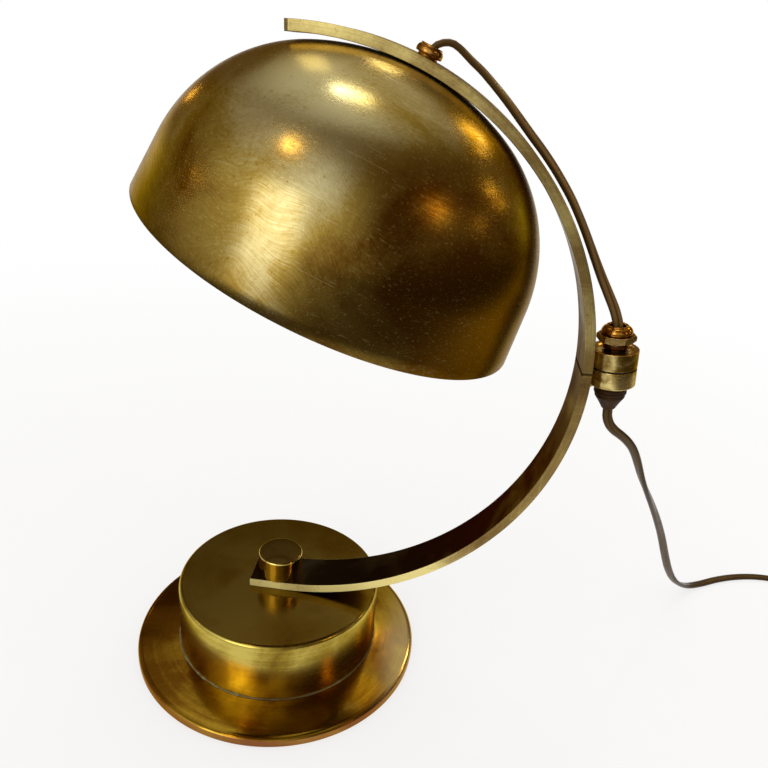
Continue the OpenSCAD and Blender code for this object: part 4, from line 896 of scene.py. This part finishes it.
# Flex gland: under the hinge a grooved ring of brown bakelite is screwed on the tube, and
# its tapered end holds the mains flex.
gland_r = 8.2
groove_r = 7.8
gland = turned("gland_ring_moulded", [
    [tube_r, disc_foot, 0], [8, disc_foot, 0.2], [gland_r, -10.3, 0.2], [gland_r, -11.2, 0.1],
    [groove_r, -11.5, 0.1], [gland_r, -11.8, 0.1], [gland_r, -13.2, 0.1],
    [groove_r, -13.5, 0.1], [gland_r, -13.8, 0.1], [gland_r, -14.6, 0.4], [7.5, -15.15, 0.2],
    [tube_r, -15.15, 0]], hinge, steps=96, segments=3)
relief = turned("gland_relief_moulded", [
    [2.9, -13.55, 0], [4.95, -13.55, 0], [4.95, -15.1, 0], [7.6, -15.17, 0.1],
    [7.6, -16.6, 0.4], [5.9, -19.2, 1.0], [4.6, -21.4, 1.0], [3.7, -23.2, 0.6],
    [3.3, -23.75, 0.2], [2.9, -23.75, 0]], hinge, steps=96, segments=4)
gland_brown = moulded("bakelite, gland", (0.02, 0.009, 0.003, 1), (0.045, 0.02, 0.007, 1),
                      2, 0.5, 0.7)
gland_shader = gland_brown.node_tree.nodes["Principled BSDF"]
gland_shader.inputs["Specular IOR Level"].default_value = 0.2
gland_shader.inputs["Specular Tint"].default_value = (1, 0.7, 0.4, 1)
for piece, node in ((gland, "gland_ring"), (relief, "gland_relief")):
    piece.data.materials.append(gland_brown)
    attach(piece, "base")
    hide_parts(node)

# Shade: a dome spun from 1 mm brass sheet, with a crown, a tighter shoulder and a skirt
# that flares a little. It has been polished by hand in wavy strokes. It darkens towards the rim
# and on the side of the arm as patina and painted shade, and along both side edges as painted
# shade.
head = Matrix.Translation(arc) @ Matrix.Rotation(radians(21.5), 4, "Y")
head = head @ Matrix.Translation((0, 0, 49.9))
rim_r = 99
shade_h = 98
crown_r = 120
shoulder_r = 80
flare = radians(8)
nipple_hole = 4.15
sheet = 1
arc_step = crown_r - shoulder_r
reach = (rim_r - shoulder_r * cos(flare)
         - (shade_h - crown_r + shoulder_r * sin(flare)) * sin(flare) / cos(flare))
crown_half = asin(reach * cos(flare) / arc_step) - flare
shade_mesh = bmesh.new()
hole_angle = asin(nipple_hole / crown_r)
tip = shade_mesh.verts.new((crown_r * sin(hole_angle), 0,
                            shade_h - crown_r + crown_r * cos(hole_angle)))
arc_end = swing(shade_mesh, [tip], (0, 0, shade_h - crown_r), (0, 1, 0),
                crown_half - hole_angle, 20)
arc_end = swing(
    shade_mesh, only(arc_end, BMVert),
    (arc_step * sin(crown_half), 0, shade_h - crown_r + arc_step * cos(crown_half)),
    (0, 1, 0), pi / 2 - flare - crown_half, 44)
skirt = bmesh.ops.extrude_vert_indiv(shade_mesh, verts=only(arc_end, BMVert)[:1])
skirt["verts"][0].co = (rim_r, 0, 0)
bmesh.ops.subdivide_edges(shade_mesh, edges=skirt["edges"], cuts=4)
full_turn(shade_mesh, 220)
if shade_mesh.faces[0].normal.dot(shade_mesh.faces[0].calc_center_median()) < 0:
    bmesh.ops.reverse_faces(shade_mesh, faces=shade_mesh.faces)
bmesh.ops.solidify(shade_mesh, geom=shade_mesh.faces[:], thickness=sheet)
shade = even(made("shade_spun", shade_mesh, head))
# Darker towards the rim and the arm's side: patina and painted shade; darker bands at the left
# and right edges: painted shade
shade.data.materials.append(
    brass("brass, shade", head, bright=(0.66, 0.585, 0.31, 1),
          middle=(0.35, 0.235, 0.045, 1), dark=(0.13, 0.055, 0.004, 1), tarnish=0.27,
          blotch=60, pitch=0.7, lines=0.02, smooth=0.2, dull=0.28, sway=110,
          uneven=(("x", -10, 70, 0.6), ("x", -45, -95, 0.3), ("z", 75, 5, 0.42)),
          marks=(("z", 34, 2, 0.4, (0.045, 0.016, 0.002, 1)),
                 ("x", 58, 92, 0.6, (0.05, 0.02, 0.002, 1)),
                 ("x", -78, -98, 0.5, (0.10, 0.06, 0.012, 1)))))
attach(shade, "head")
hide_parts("shade")

# Shade's fixing: a hollow brass nipple hangs the shade from the bar, with a nut and a washer
# inside the crown. Above the bar a round outlet with a narrow neck lets the lead in.
dress(brass("brass, nipple", head, tarnish=0.6, blotch=6, pitch=0.5), "shade_nipple",
      "seat_washer", "seat_nut")
nipple_r = 4.05
bar_top = 103.1
outlet_line = mouth_outline(bar_top + 1, 4.2, 6.3, 3.9, nipple_r, 1.3)
outlet_line[:2] = [[nipple_r, bar_top, 0], [4.65, bar_top, 0.1], [4.65, bar_top + 1, 0.1],
                   [5.9, bar_top + 1.05, 0.2]]
outlet = turned("flex_outlet_turned", outlet_line, head, steps=96)
outlet.data.materials.append(
    brass("brass, outlet", head, bright=(0.66, 0.38, 0.10, 1), middle=(0.38, 0.18, 0.035, 1),
          dark=(0.12, 0.045, 0.01, 1), tarnish=0.42, blotch=5, pitch=0.5, lines=0.004,
          smooth=0.1, dull=0.22, scratches=0.3))
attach(outlet, "head")
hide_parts("flex_outlet")

# Lampholder: a two-part bakelite holder screwed on the nipple, with a ceramic contact block,
# a threaded shell and a springy centre contact. Two cores run to the block's terminals.
holder_black = moulded("bakelite, holder", (0.011, 0.009, 0.008, 1), (0.02, 0.015, 0.012, 1),
                       2, 0.2, 0.36)
holder_r = 13.5
holder_bore = 11.9
lip_bore = 9.5
holder_cap = turned("holder_cap_moulded", [
    [holder_bore, 70.65, 0], [holder_r, 70.65, 0.3], [holder_r, 73.2, 0.1], [13.1, 73.5, 0.1],
    [holder_r, 73.8, 0.1], [holder_r, 77.9, 1.5], [12.1, 81.7, 1.5], [7.85, 83.65, 0.8],
    [6.65, 85.15, 0.8], [6.65, 91.64, 0.5], [nipple_r, 91.64, 0], [nipple_r, 81.64, 0],
    [5.65, 81.64, 0], [holder_bore, 77.14, 0]], head, steps=72, segments=4)
sleeve_line = [[lip_bore, 51.65, 0.2], [holder_r, 51.65, 0.6]]
for ring in range(6):
    low = 53.5 + 2.3 * ring
    sleeve_line += [[holder_r, low, 0.1], [12.95, low + 0.4, 0.1], [12.95, low + 0.9, 0.1],
                    [holder_r, low + 1.3, 0.1]]
sleeve_line += [[holder_r, 70.54, 0.3], [holder_bore, 70.54, 0], [holder_bore, 53.14, 0],
                [lip_bore, 53.14, 0.2]]
holder_sleeve = turned("holder_sleeve_moulded", sleeve_line, head, steps=72, segments=3)
for piece, node in ((holder_cap, "holder_cap"), (holder_sleeve, "holder_sleeve")):
    piece.data.materials.append(holder_black)
    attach(piece, "head")
    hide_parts(node)
dress(moulded("steatite", (0.72, 0.69, 0.62, 1), (0.6, 0.56, 0.48, 1), 1.5, 0.3, 0.5),
      "contact_block")
dress(brass("brass, contacts", head, bright=(0.62, 0.46, 0.17, 1), tarnish=0.25, blotch=8,
            pitch=0.5), "screw_shell", "centre_contact")
dress(moulded("core sleeve", (0.09, 0.04, 0.02, 1), (0.05, 0.02, 0.01, 1), 1.5, 0.35, 0.6),
      "holder_wires")

# Bulb: a small opal glass globe, blown round a glass stem with its filament and cemented in
# a nickelled screw cap that ends in a solder button.
material, tree, shader, spots = start("opal glass")
cloud = noise(tree, spots, 35.0, 3.0)
surface(tree, shader, blend(tree, cloud, (0.86, 0.84, 0.78, 1), (0.93, 0.92, 0.88, 1)),
        spread(tree, cloud, 0.3, 0.7, 0.12, 0.2))
shader.inputs["Subsurface Weight"].default_value = 0.25
shader.inputs["Subsurface Radius"].default_value = (0.004, 0.004, 0.004)
dress(material, "bulb_glass")
cap_metal = plain_metal("nickelled cap", (0.5, 0.48, 0.42, 1), (0.66, 0.63, 0.55, 1), 6, 0.3,
                        0.00005)
crest = 6.9
root = 6.6
thread = 2.82
cap_line = [[6.4, 48.15, 0], [crest, 48.15, 0.1], [crest, 50.4, 0.2]]
for ring in range(4):
    low = 50.8 + thread * ring
    cap_line += [[root, low, 0.2], [crest, low + 0.9, 0.3], [crest, low + 1.3, 0.3],
                 [root, low + 2.2, 0.2]]
cap_line += [[root, 62.14, 0.5], [3.2, 65.14, 0.4], [0.3, 65.14, 0], [0.3, 64.4, 0],
             [3, 64.4, 0], [6.2, 61.5, 0], [6.4, 61.14, 0]]
bulb_cap = turned("bulb_cap_rolled", cap_line, head, steps=72, segments=3)
bulb_cap.data.materials.append(cap_metal)
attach(bulb_cap, "head")
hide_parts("bulb_cap")
dress(plain_metal("solder button", (0.3, 0.29, 0.27, 1), (0.42, 0.41, 0.38, 1), 2, 0.45,
                  0.0001), "bulb_contact")
material, tree, shader, spots = start("stem glass")
seed = noise(tree, spots, 300.0)
surface(tree, shader, blend(tree, seed, (0.86, 0.9, 0.9, 1), (0.95, 0.97, 0.97, 1)),
        spread(tree, seed, 0.3, 0.7, 0.02, 0.08))
shader.inputs["Transmission Weight"].default_value = 1
dress(material, "bulb_stem")
dress(plain_metal("tungsten", (0.2, 0.2, 0.21, 1), (0.32, 0.32, 0.33, 1), 1, 0.4, 0.00005),
      "bulb_filament")

# Tie, switch and plug: a black band holds the coil. The brown flex switch is screwed
# together from two shells round a rocker, and a black two-pin plug ends the flex.
dress(moulded("tie band", (0.015, 0.015, 0.016, 1), (0.03, 0.03, 0.031, 1), 2, 0.4, 0.6),
      "cord_tie")
dress(moulded("bakelite, switch", (0.028, 0.016, 0.01, 1), (0.042, 0.022, 0.013, 1), 2, 0.22,
              0.38), "switch_base", "switch_cover")
dress(moulded("rocker", (0.01, 0.009, 0.008, 1), (0.018, 0.015, 0.013, 1), 2, 0.2, 0.34),
      "switch_rocker")
dress(zinc, "switch_screws")
dress(moulded("rubber, plug", (0.012, 0.011, 0.01, 1), (0.022, 0.02, 0.018, 1), 2, 0.38,
              0.58), "plug_body", "plug_relief")
dress(plain_metal("nickelled pins", (0.55, 0.53, 0.48, 1), (0.7, 0.68, 0.62, 1), 4, 0.26,
                  0.00004), "plug_pins")
